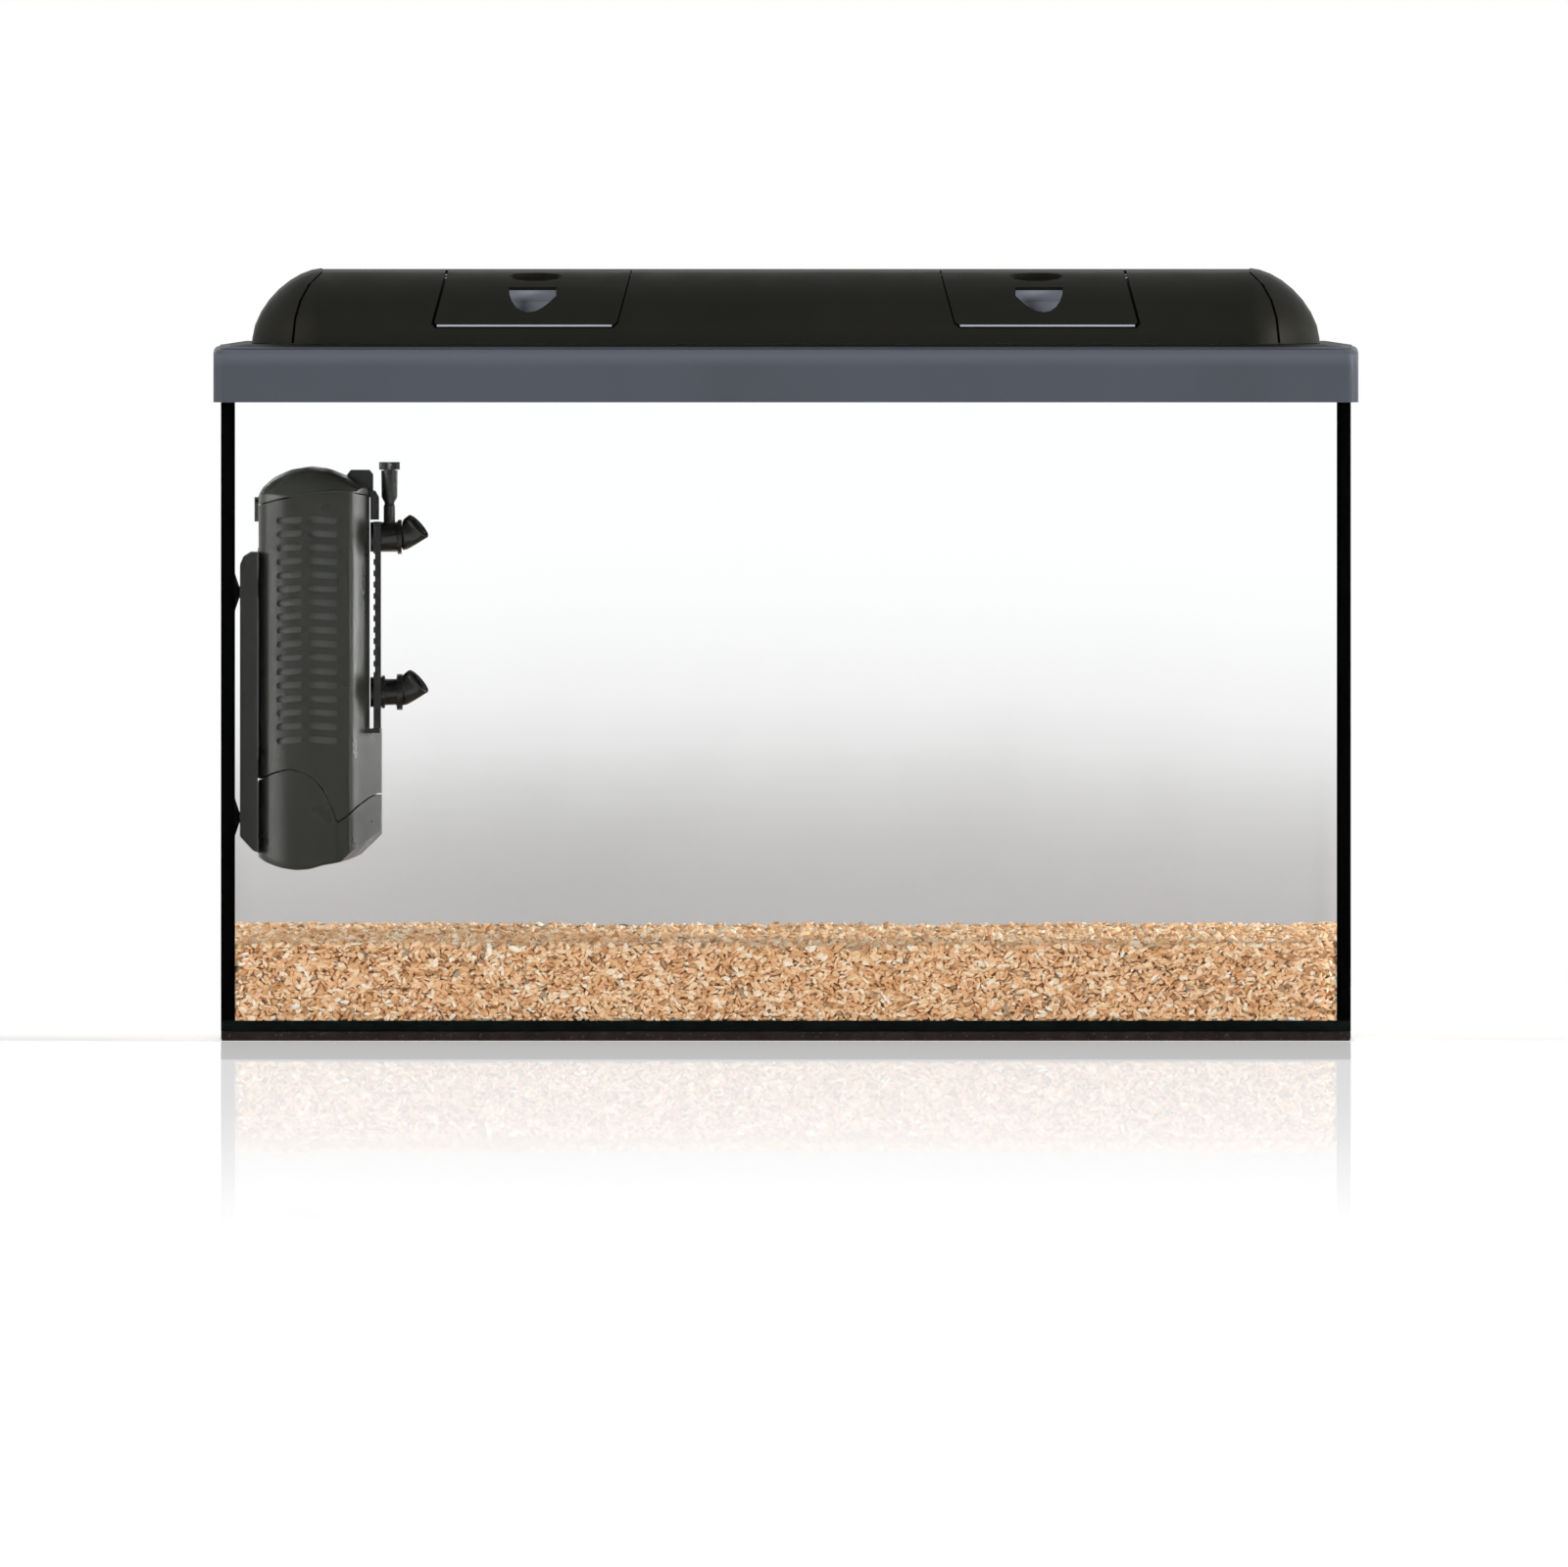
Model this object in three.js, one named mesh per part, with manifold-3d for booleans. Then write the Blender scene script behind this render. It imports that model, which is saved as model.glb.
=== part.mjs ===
// A rimless aquarium on a foam mat, with a lift-off feeding hood and an internal filter.
// Millimetres, +Z up. The origin is under the middle of the foam mat, and -Y is the front.

import * as THREE from 'three';
import { mergeVertices } from 'three/addons/utils/BufferGeometryUtils.js';
import Module from 'manifold-3d';

const wasm = await Module();
wasm.setup();

// ---------------------------------------------------------------- driving dimensions

const LENGTH = 600;
const WIDTH = 300;
const GLASS = 5;
const MAT = 5;
const GLASS_TOP = 365;
const SILICONE = 0.75;
const FILLET = 2.25;
const BASE_FILLET = 0.6;
const CLEAR = 0.3;

const FRAME_LENGTH = 608;
const FRAME_WIDTH = 308;
const FRAME_BOTTOM = 339;
const FRAME_TOP = 367;
const FRAME_WALL = 2.5;
const FRAME_EDGE = 3.5;

const DECK_BOTTOM = 367.1;
const DECK_TOP = 369.7;
const DECK_SLOPE = 14;

const DOME_BASE = 370;
const DOME_RADIUS = 38.1;
const DOME_HALF_WIDTH = 135;
const DOME_END_START = 247;
const DOME_END_LENGTH = 36;
const DOME_END_POWER = 1.66;
const DOME_WALL = 2.5;
const CAP_PROUD = 0.4;
const DOME_TOP = DOME_BASE + DOME_RADIUS;

const FLAP_OUTER = -187.3;
const FLAP_INNER = -90.5;
const FLAP_BOTTOM = 379;
const FLAP_LEAN = 8;
const HINGE_Y = -10;
const HINGE_Z = 404.6;
const BARREL_RADIUS = 3.5;
const PIN_RADIUS = 1.5;

const LAMP_Y = 48;
const LAMP_Z = 385;
const LAMP_RADIUS = 13;
const LAMP_LENGTH = 438;

const FILTER_X = -250;
const FILTER_Y = 20;
const FILTER_DROP = 1.5;
const CASE_HALF_DEPTH = 35;
const CASE_LEFT = -30;
const CASE_RIGHT = 35.5;
const CASE_WALL = 2.25;
const SEAM_GAP = 0.35;
const SHOULDER = 166;
const RAIL_SIDE = 29;
const OUTLET_Y = 4;
const UPPER_OUTLET_Z = 267.8;
const LOWER_OUTLET_Z = 185.5;

// ---------------------------------------------------------------- materials

const COLOURS = {
  glass: { color: 0xcfdcd6, roughness: 0.05, metalness: 0 },
  silicone: { color: 0x050505, roughness: 0.45, metalness: 0 },
  mat: { color: 0x28201f, roughness: 0.95, metalness: 0 },
  film: { color: 0xbebcbd, roughness: 0.6, metalness: 0 },
  gravel: { color: 0xcfa883, roughness: 0.9, metalness: 0 },
  slate: { color: 0x555961, roughness: 0.55, metalness: 0 },
  black: { color: 0x232321, roughness: 0.4, metalness: 0 },
  grip: { color: 0x70727b, roughness: 0.5, metalness: 0 },
  filter: { color: 0x42443e, roughness: 0.4, metalness: 0 },
  filterDark: { color: 0x2e2f2b, roughness: 0.45, metalness: 0 },
  foam: { color: 0x1d1e20, roughness: 1, metalness: 0 },
  rubber: { color: 0x1e1e1d, roughness: 0.6, metalness: 0 },
  ceramic: { color: 0xe8e6df, roughness: 0.3, metalness: 0 },
  steel: { color: 0xb9bcc0, roughness: 0.3, metalness: 1 },
  lampGlass: { color: 0xf4f6f8, roughness: 0.2, metalness: 0 },
  reflector: { color: 0xd6d9dc, roughness: 0.2, metalness: 1 },
};

function part(name, colour, geometry) {
  const mesh = new THREE.Mesh(geometry, new THREE.MeshStandardMaterial(COLOURS[colour]));
  mesh.name = name;
  return mesh;
}

// ---------------------------------------------------------------- solids

function solid(geometry) {
  geometry.deleteAttribute('normal');
  geometry.deleteAttribute('uv');
  const merged = mergeVertices(geometry, 1e-4);
  return new wasm.Manifold(new wasm.Mesh({
    numProp: 3,
    vertProperties: new Float32Array(merged.attributes.position.array),
    triVerts: new Uint32Array(merged.index.array),
  }));
}

function geometryOf(body) {
  const mesh = body.getMesh();
  const geometry = new THREE.BufferGeometry();
  geometry.setAttribute('position', new THREE.BufferAttribute(mesh.vertProperties, 3));
  geometry.setIndex(new THREE.BufferAttribute(mesh.triVerts, 1));
  geometry.computeVertexNormals();
  return geometry;
}

function joined(solids) {
  return solids.reduce((whole, piece) => whole.add(piece));
}

function less(body, solids) {
  return solids.reduce((left, piece) => left.subtract(piece), body);
}

// A box between two corners.
function box(low, high) {
  const size = high.map((value, i) => value - low[i]);
  const geometry = new THREE.BoxGeometry(size[0], size[1], size[2]);
  geometry.translate(low[0] + size[0] / 2, low[1] + size[1] / 2, low[2] + size[2] / 2);
  return solid(geometry);
}

// The turns that lay an outline's plane square to an axis: (y, z) for x, (x, z) for y, (x, y) for z.
const TURNS = {
  x: new THREE.Matrix4().set(0, 0, 1, 0, 1, 0, 0, 0, 0, 1, 0, 0, 0, 0, 0, 1),
  y: new THREE.Matrix4().set(1, 0, 0, 0, 0, 0, -1, 0, 0, 1, 0, 0, 0, 0, 0, 1),
  z: new THREE.Matrix4(),
};

// An outline, a Shape or a list of points, stretched along an axis between two places on it.
function prism(outline, axis, from, to, curveSegments = 4) {
  const points = Array.isArray(outline) ? outline.map(([a, b]) => new THREE.Vector2(a, b)) : null;
  const shape = points ? new THREE.Shape(points) : outline;
  const geometry = new THREE.ExtrudeGeometry(shape, {
    depth: to - from,
    bevelEnabled: false,
    curveSegments,
  });
  geometry.translate(0, 0, axis === 'y' ? -to : from);
  geometry.applyMatrix4(TURNS[axis]);
  return solid(geometry);
}

// A cylinder along an axis, centred at the given place in the plane square to that axis.
function rod(axis, a, b, radius, from, to, sides = 12) {
  const shape = new THREE.Shape();
  const turns = Array.from({ length: sides }, (_, i) => (2 * Math.PI * (i + 0.5)) / sides);
  shape.setFromPoints(turns.map((turn) => (
    new THREE.Vector2(a + radius * Math.cos(turn), b + radius * Math.sin(turn))
  )));
  return prism(shape, axis, from, to);
}

// A turned solid: [radius, height] points round +Z, or round +X when laid down.
function turned(points, sides = 16, laidDown = false) {
  const profile = points.map(([r, h]) => new THREE.Vector2(r, h));
  if (THREE.ShapeUtils.area(profile) < 0) {
    profile.reverse();
  }
  const geometry = new THREE.LatheGeometry(profile, sides);
  geometry.rotateX(Math.PI / 2);
  if (laidDown) {
    geometry.rotateY(Math.PI / 2);
  }
  return geometry;
}

function roundedRectangle(halfA, halfB, radius) {
  const shape = new THREE.Shape();
  shape.moveTo(-halfA + radius, -halfB);
  shape.lineTo(halfA - radius, -halfB);
  shape.absarc(halfA - radius, -halfB + radius, radius, -Math.PI / 2, 0);
  shape.lineTo(halfA, halfB - radius);
  shape.absarc(halfA - radius, halfB - radius, radius, 0, Math.PI / 2);
  shape.lineTo(-halfA + radius, halfB);
  shape.absarc(-halfA + radius, halfB - radius, radius, Math.PI / 2, Math.PI);
  shape.lineTo(-halfA, -halfB + radius);
  shape.absarc(-halfA + radius, -halfB + radius, radius, Math.PI, 1.5 * Math.PI);
  return shape;
}

// ---------------------------------------------------------------- tank

function makePanes() {
  const halfLength = LENGTH / 2;
  const halfWidth = WIDTH / 2;
  const sideEnd = halfWidth - GLASS - SILICONE;
  const floorEnd = halfLength - GLASS - SILICONE;
  const boxes = {
    front_pane: [[-halfLength, -halfWidth, MAT], [halfLength, GLASS - halfWidth, GLASS_TOP]],
    rear_pane: [[-halfLength, halfWidth - GLASS, MAT], [halfLength, halfWidth, GLASS_TOP]],
    left_pane: [[-halfLength, -sideEnd, MAT], [GLASS - halfLength, sideEnd, GLASS_TOP]],
    right_pane: [[halfLength - GLASS, -sideEnd, MAT], [halfLength, sideEnd, GLASS_TOP]],
    bottom_pane: [[-floorEnd, -sideEnd, MAT], [floorEnd, sideEnd, MAT + GLASS]],
  };
  return Object.entries(boxes).map(([name, [low, high]]) => (
    part(name, 'glass', geometryOf(box(low, high)))
  ));
}

// One upright seam: the thin joint at a side pane's end, and the fillet inside the corner.
function makeCornerSeam(name, alongX, alongY) {
  const x = LENGTH / 2;
  const y = WIDTH / 2 - GLASS;
  const inner = x - GLASS;
  const outline = [
    [x, y],
    [inner - FILLET - 0.25, y],
    [inner, y - FILLET - 0.25],
    [inner, y - SILICONE],
    [x, y - SILICONE],
  ].map(([a, b]) => [a * alongX, b * alongY]);
  const seam = prism(outline, 'z', MAT + GLASS + BASE_FILLET, GLASS_TOP);
  return part(name, 'silicone', geometryOf(seam));
}

// The seam round the bottom pane: a thin joint at its edges, and a low fillet above it.
function makeBaseSeam() {
  const x = LENGTH / 2 - GLASS;
  const y = WIDTH / 2 - GLASS;
  const floor = MAT + GLASS;
  const top = floor + BASE_FILLET;
  const ring = box([-x, -y, MAT], [x, y, top]).subtract(
    box([SILICONE - x, SILICONE - y, MAT - 1], [x - SILICONE, y - SILICONE, top + 1]),
  );
  const solids = [ring];
  for (const side of [-1, 1]) {
    const joint = [[side * x, y - SILICONE], [side * (x + GLASS), y]];
    for (const end of [-1, 1]) {
      const xs = joint.map((point) => point[0]).sort((a, b) => a - b);
      const ys = joint.map((point) => point[1] * end).sort((a, b) => a - b);
      solids.push(box([xs[0], ys[0], MAT], [xs[1], ys[1], top]));
    }
    const alongX = [[side * y, floor], [side * (y - FILLET), floor], [side * y, top]];
    const alongY = [[side * x, floor], [side * (x - FILLET), floor], [side * x, top]];
    solids.push(prism(alongX, 'x', -x, x));
    solids.push(prism(alongY, 'y', -y, y));
  }
  return part('base_seam', 'silicone', geometryOf(joined(solids)));
}

// Gravel that rises towards the rear pane, cut back along the seams.
function makeGravel() {
  const x = 294.6;
  const y = 144.6;
  const bottom = MAT + GLASS + 0.25;
  const aboveSeam = bottom + BASE_FILLET + 0.5;
  const corner = 3.5;
  const alongX = prism([
    [-y, aboveSeam], [-y, 50], [-60, 52], [40, 56.5], [y, 61.2],
    [y, aboveSeam], [y - FILLET - 1, bottom], [-y + FILLET + 1, bottom],
  ], 'x', -x, x);
  const alongY = prism([
    [-x, aboveSeam], [-x, 70], [x, 70],
    [x, aboveSeam], [x - FILLET - 1, bottom], [-x + FILLET + 1, bottom],
  ], 'y', -y, y);
  const plan = prism([
    [-x, -y + corner], [-x, y - corner], [-x + corner, y], [x - corner, y],
    [x, y - corner], [x, -y + corner], [x - corner, -y], [-x + corner, -y],
  ], 'z', MAT, 80);
  return part('gravel_bed', 'gravel', geometryOf(alongX.intersect(alongY).intersect(plan)));
}

function makeTank() {
  const tank = new THREE.Group();
  const mat = box([-LENGTH / 2, -WIDTH / 2, 0], [LENGTH / 2, WIDTH / 2, MAT]);
  const film = box([-299.5, 150.1, 6], [299.5, 150.5, 337]);
  tank.add(part('foam_mat', 'mat', geometryOf(mat)));
  tank.add(...makePanes());
  for (const [end, alongY] of [['front', -1], ['rear', 1]]) {
    for (const [side, alongX] of [['left', -1], ['right', 1]]) {
      tank.add(makeCornerSeam(`${end}_${side}_seam`, alongX, alongY));
    }
  }
  tank.add(makeBaseSeam());
  tank.add(part('rear_film', 'film', geometryOf(film)));
  tank.add(makeGravel());
  return tank;
}

// ---------------------------------------------------------------- hood frame and deck

function makeHoodFrame() {
  const halfX = FRAME_LENGTH / 2;
  const halfY = FRAME_WIDTH / 2;
  const body = new THREE.ExtrudeGeometry(roundedRectangle(halfX - FRAME_EDGE, halfY - FRAME_EDGE, 3), {
    depth: 40,
    bevelThickness: FRAME_EDGE,
    bevelSize: FRAME_EDGE,
    bevelSegments: 3,
    curveSegments: 2,
  });
  body.translate(0, 0, FRAME_TOP - FRAME_EDGE - 40);
  const ledge = 365.3;
  const inside = roundedRectangle(halfX - FRAME_WALL, halfY - FRAME_WALL, 3);
  const opening = roundedRectangle(292, 142, 3);
  const frame = less(solid(body), [
    box([-400, -400, 300], [400, 400, FRAME_BOTTOM]),
    prism(inside, 'z', FRAME_BOTTOM - 1, ledge, 2),
    prism(opening, 'z', FRAME_BOTTOM - 1, FRAME_TOP + 1, 2),
    box([-258, 148, FRAME_BOTTOM - 1], [-238, 160, 355]),
  ]);
  return part('hood_frame', 'slate', geometryOf(frame));
}

function makeHoodDeck() {
  const outerX = 300.5;
  const outerY = 150.5;
  const plateau = roundedRectangle(outerX - DECK_SLOPE, outerY - DECK_SLOPE, 1);
  const crown = new THREE.ExtrudeGeometry(plateau, {
    depth: 1,
    bevelThickness: DECK_TOP - DECK_BOTTOM - 0.5,
    bevelSize: DECK_SLOPE,
    bevelSegments: 1,
    curveSegments: 2,
  });
  crown.translate(0, 0, DECK_BOTTOM - 0.5);
  const deck = less(solid(crown), [
    box([-400, -400, 300], [400, 400, DECK_BOTTOM]),
    prism(roundedRectangle(276, 128, 30), 'z', 360, 380, 3),
  ]).intersect(prism(roundedRectangle(outerX, outerY, 4), 'z', 360, 380, 2));
  return part('hood_deck', 'black', geometryOf(deck));
}

// ---------------------------------------------------------------- hood dome

// Bends the ends' round: less full than a quarter ellipse, so that they lean in from the foot.
function leanEnds(geometry, endLength) {
  const places = geometry.attributes.position;
  for (let i = 0; i < places.count; i++) {
    const along = places.getZ(i);
    const share = Math.min((Math.abs(along) - DOME_END_START) / endLength, 1);
    if (share > 0) {
      const height = Math.sqrt(1 - share * share);
      const bent = (1 - height ** DOME_END_POWER) ** (1 / DOME_END_POWER);
      places.setZ(i, Math.sign(along) * (DOME_END_START + endLength * bent));
    }
  }
}

// The whole dome as a closed pillow, drawn in by an inset and cut flat at its foot.
function pillow(inset, foot) {
  const radius = DOME_RADIUS - inset;
  const drawnIn = radius - 1;
  const straight = DOME_HALF_WIDTH - DOME_RADIUS;
  const profile = new THREE.Shape();
  profile.absarc(straight, DOME_BASE, radius, -Math.PI / 2, Math.PI / 2);
  profile.absarc(-straight, DOME_BASE, radius, Math.PI / 2, 1.5 * Math.PI);
  const geometry = new THREE.ExtrudeGeometry(profile, {
    depth: 2 * DOME_END_START,
    bevelThickness: DOME_END_LENGTH - inset,
    bevelSize: drawnIn,
    bevelOffset: -drawnIn,
    bevelSegments: 8,
    curveSegments: 12,
  });
  geometry.translate(0, 0, -DOME_END_START);
  leanEnds(geometry, DOME_END_LENGTH - inset);
  geometry.applyMatrix4(TURNS.x);
  return solid(geometry).subtract(box([-400, -400, 300], [400, 400, foot]));
}

// The line between vault and left end cap, as seen from the front, moved along by a shift.
function endCapSeam(shift) {
  return [
    [-262.3, DOME_BASE - 2],
    [-260.6, DOME_BASE + 13.5],
    [-257.8, DOME_BASE + 23],
    [-252.8, DOME_BASE + 32],
    [-244.8, DOME_TOP + 1.5],
  ].map(([x, z]) => [x + shift, z]);
}

// The flap's outline as seen from the front: it leans towards the middle of the hood.
function flapOutline(outerGap, gap) {
  const lean = (z) => (FLAP_LEAN * (z - FLAP_BOTTOM)) / (DOME_TOP - FLAP_BOTTOM);
  const bottom = FLAP_BOTTOM - gap;
  const top = DOME_TOP + 6;
  const left = FLAP_OUTER - outerGap;
  const right = FLAP_INNER + gap;
  const corner = 2.5;
  return [
    [left + lean(top), top],
    [left + lean(bottom + corner), bottom + corner],
    [left + corner, bottom],
    [right - corner, bottom],
    [right + lean(bottom + corner), bottom + corner],
    [right + lean(top), top],
  ];
}

function mirrored(points) {
  return points.map(([a, b]) => [-a, b]);
}

// A cutter that follows the dome's front round: an outline in the surface, sunk along its normal.
function sunkOutline(shape, x, angle, from, to) {
  const geometry = new THREE.ExtrudeGeometry(shape, {
    depth: to - from,
    bevelEnabled: false,
    curveSegments: 5,
  });
  geometry.translate(0, 0, from);
  geometry.rotateX(Math.PI / 2 - angle);
  geometry.translate(x, -(DOME_HALF_WIDTH - DOME_RADIUS), DOME_BASE);
  return solid(geometry);
}

const CATCH_X = -137;
const CATCH_ANGLE = THREE.MathUtils.degToRad(39);
const OVAL_X = -133;
const OVAL_ANGLE = THREE.MathUtils.degToRad(70);

// The finger catch: flat on top, round below, and lowest towards the hood's end.
function catchShape(side) {
  const shape = new THREE.Shape();
  shape.moveTo(-side * 10, 8.5);
  shape.bezierCurveTo(-side * 10.5, -2, -side * 6, -8.5, 0, -8.5);
  shape.bezierCurveTo(side * 7, -8.5, side * 12, -2, side * 15, 2);
  shape.lineTo(side * 15, 8.5);
  shape.closePath();
  return shape;
}

function ovalShape() {
  const shape = new THREE.Shape();
  shape.absellipse(0, 0, 14.5, 6.5, 0, 2 * Math.PI);
  return shape;
}

function makeFlap(name, side, shell) {
  const outline = side < 0 ? flapOutline(0, 0) : mirrored(flapOutline(0, 0));
  const skin = shell.intersect(prism(outline, 'y', -200, HINGE_Y));
  const topLeft = FLAP_OUTER + FLAP_LEAN;
  const topRight = FLAP_INNER + FLAP_LEAN;
  const ends = [topLeft * -side, topRight * -side].sort((a, b) => a - b);
  const barrel = rod('x', HINGE_Y, HINGE_Z, BARREL_RADIUS, ends[0], ends[1], 16);
  const bore = rod('x', HINGE_Y, HINGE_Z, PIN_RADIUS + 0.4, ends[0] - 1, ends[1] + 1, 12);
  const flap = less(skin.add(barrel), [
    bore,
    sunkOutline(catchShape(-side), CATCH_X * -side, CATCH_ANGLE, 30, 45),
    sunkOutline(ovalShape(), OVAL_X * -side, OVAL_ANGLE, 30, 45),
  ]);
  return part(name, 'black', geometryOf(flap));
}

// A grey tray behind the catch, bent with the flap and open towards it.
function makeGrip(name, side) {
  const centre = DOME_HALF_WIDTH - DOME_RADIUS;
  const sector = (inner, outer, from, to) => {
    const shape = new THREE.Shape();
    shape.absarc(-centre, DOME_BASE, outer, Math.PI - from, Math.PI - to, true);
    shape.absarc(-centre, DOME_BASE, inner, Math.PI - to, Math.PI - from, false);
    shape.closePath();
    return shape;
  };
  const rim = DOME_RADIUS - DOME_WALL - CLEAR;
  const spread = THREE.MathUtils.degToRad(17.5);
  const wall = THREE.MathUtils.degToRad(3);
  const x = CATCH_X * -side + side * -2.5;
  const tray = sector(rim - 9, rim, CATCH_ANGLE - spread, CATCH_ANGLE + spread);
  const block = prism(tray, 'x', x - 15.5, x + 15.5, 3);
  const hollow = prism(
    sector(rim - 7.5, rim + 2, CATCH_ANGLE - spread + wall, CATCH_ANGLE + spread - wall),
    'x', x - 14, x + 14, 3,
  );
  return part(name, 'grip', geometryOf(block.subtract(hollow)));
}

// The lugs under the vault that hold a flap's pin.
function hingeLugs(side) {
  const outer = FLAP_OUTER + FLAP_LEAN - 2;
  const inner = FLAP_INNER + FLAP_LEAN + 1;
  return [[outer - 6.5, outer], [inner, inner + 6.5]].map(([from, to]) => {
    const ends = [from * -side, to * -side].sort((a, b) => a - b);
    return box([ends[0], HINGE_Y - 4, HINGE_Z - 4.5], [ends[1], HINGE_Y + 4, DOME_TOP - 1]);
  });
}

function hingePinRod(side, radius, halfLength) {
  const middle = ((FLAP_OUTER + FLAP_INNER) / 2 + FLAP_LEAN) * -side;
  return rod('x', HINGE_Y, HINGE_Z, radius, middle - halfLength, middle + halfLength, 12);
}

function makeDome() {
  const shell = pillow(0, DOME_BASE).subtract(pillow(DOME_WALL, DOME_BASE - 1));
  const left = endCapSeam(CLEAR / 2);
  const vaultOutline = [...left, ...mirrored(left).reverse()];
  const flapOpenings = [-1, 1].map((side) => {
    const outline = side < 0 ? flapOutline(1.5, 0.8) : mirrored(flapOutline(1.5, 0.8));
    return prism(outline, 'y', -200, HINGE_Y + BARREL_RADIUS + 0.8);
  });
  const glandHole = rod('y', -230, 381, 5.4, 120, 145);
  let vault = less(shell.intersect(prism(vaultOutline, 'y', -200, 200)), [...flapOpenings, glandHole]);
  vault = joined([vault, ...hingeLugs(-1), ...hingeLugs(1)]);
  vault = less(vault, [-1, 1].map((side) => hingePinRod(side, PIN_RADIUS + 0.2, 60)));
  const endOutline = [...endCapSeam(-CLEAR / 2), [-300, DOME_TOP + 1.5], [-300, DOME_BASE - 2]];
  const capShell = pillow(-CAP_PROUD, DOME_BASE).subtract(pillow(DOME_WALL, DOME_BASE - 1));
  const leftEnd = capShell.intersect(prism(endOutline, 'y', -200, 200));
  const rightEnd = capShell.intersect(prism(mirrored(endOutline), 'y', -200, 200));
  const parts = [
    part('hood_vault', 'black', geometryOf(vault)),
    part('left_end_cap', 'black', geometryOf(leftEnd)),
    part('right_end_cap', 'black', geometryOf(rightEnd)),
  ];
  for (const [name, side] of [['left', -1], ['right', 1]]) {
    parts.push(makeFlap(`${name}_flap`, side, shell));
    parts.push(makeGrip(`${name}_flap_grip`, side));
    parts.push(part(`${name}_hinge_pin`, 'steel', geometryOf(hingePinRod(side, PIN_RADIUS, 55))));
  }
  return parts;
}

// ---------------------------------------------------------------- lamp

function makeLamp() {
  const half = LAMP_LENGTH / 2;
  const profile = [
    [0, -half], [1.2, -half], [1.2, 7 - half], [12, 7 - half], [LAMP_RADIUS, 8 - half],
    [LAMP_RADIUS, half - 8], [12, half - 7], [1.2, half - 7], [1.2, half], [0, half],
  ];
  const tube = turned(profile, 20, true);
  tube.translate(0, LAMP_Y, LAMP_Z);
  const parts = [part('lamp_tube', 'lampGlass', tube)];
  const top = DOME_TOP - DOME_WALL - CLEAR;
  for (const [name, side] of [['left', -1], ['right', 1]]) {
    const near = side * (half - 6.5);
    const far = side * (half + 6);
    const ends = [near, far].sort((a, b) => a - b);
    const block = box([ends[0], LAMP_Y - 11, LAMP_Z - 11], [ends[1], LAMP_Y + 11, top]);
    const socket = side < 0 ? [ends[0] + 4, ends[1] + 1] : [ends[0] - 1, ends[1] - 4];
    const holder = block.subtract(rod('x', LAMP_Y, LAMP_Z, 2, ...socket, 12));
    parts.push(part(`${name}_lamp_holder`, 'black', geometryOf(holder)));
  }
  const arc = new THREE.Shape();
  arc.absarc(LAMP_Y, LAMP_Z, 18.5, -0.1, Math.PI + 0.1, false);
  arc.absarc(LAMP_Y, LAMP_Z, 17.5, Math.PI + 0.1, -0.1, true);
  arc.closePath();
  parts.push(part('lamp_reflector', 'reflector', geometryOf(prism(arc, 'x', -212, 212, 6))));
  const gland = turned([[3, 0], [5, 0], [5, 9.5], [7, 9.5], [7, 12], [4.5, 18], [3, 18], [3, 0]], 16);
  gland.rotateX(-Math.PI / 2);
  gland.translate(-230, 126, 381);
  parts.push(part('hood_gland', 'rubber', gland));
  return parts;
}

// ---------------------------------------------------------------- filter

// The case's plan, drawn in by a wall thickness.
function caseOutline(inset) {
  const front = -CASE_HALF_DEPTH + inset;
  const back = CASE_HALF_DEPTH - inset;
  const left = CASE_LEFT + inset;
  const right = CASE_RIGHT - inset;
  const shape = new THREE.Shape();
  shape.moveTo(left, back - 5);
  shape.lineTo(left, front + 14);
  shape.quadraticCurveTo(left, front + 1, left + 26, front);
  shape.lineTo(16 - inset * 0.4, front);
  shape.quadraticCurveTo(20 - inset * 0.6, front, 21.5 - inset, front + 4);
  shape.lineTo(right - 2, front + 40);
  shape.quadraticCurveTo(right, front + 45, right, front + 50);
  shape.lineTo(right, back - 5);
  shape.quadraticCurveTo(right, back, right - 5, back);
  shape.lineTo(left + 5, back);
  shape.quadraticCurveTo(left, back, left, back - 5);
  return shape;
}

// Height of the seam between case and cup, from left to right.
const CUP_SEAM = [
  [-40, 139], [-30, 139], [-22, 142.6], [-14, 144.7], [-6.6, 143], [-0.3, 139.5], [5, 132.7],
  [9, 124.4], [11.7, 116], [17.4, 120.2], [22.6, 124.9], [28.8, 129.6], [33, 131.4], [45, 131],
];

// Height of the cup's underside.
const CUP_FLOOR = [
  [-40, 98], [-30, 98], [-26.5, 95.5], [-22, 93.6], [-17, 92.1], [-10, 91.1], [-3, 91.6], [4, 93.7],
  [10, 94.7], [19, 96.8], [25, 99.4], [32.5, 105.6], [45, 115],
];

// Height of the seam between case and head.
const HEAD_SEAM = [
  [-40, 285], [-30, 285], [-21, 287.8], [-13, 289.3], [-5, 290.4], [8, 291.6], [19, 292], [28, 290],
  [45, 288],
];

// Height of the head's crown, from left to right and from front to back.
const HEAD_CROWN = [
  [-31, 284], [-30, 290], [-28, 294], [-22, 299.5], [-13, 303.6], [-1.7, 305.5], [8, 304.2], [17, 300.5],
  [24, 296.5], [27.5, 293.8], [28.8, 290], [29, 284],
];
const HEAD_CROWN_SIDE = [
  [-36, 284], [-34, 291], [-28, 298], [-18, 303], [-4, 305.6], [12, 305], [24, 302], [32, 296],
  [36, 284],
];

function raised(points, by) {
  return points.map(([a, z]) => [a, z + by]);
}

// The space between two height curves that run along x.
function between(lower, upper) {
  return prism([...lower, ...[...upper].reverse()], 'y', -60, 60);
}

function level(z) {
  return [[-60, z], [60, z]];
}

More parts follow.
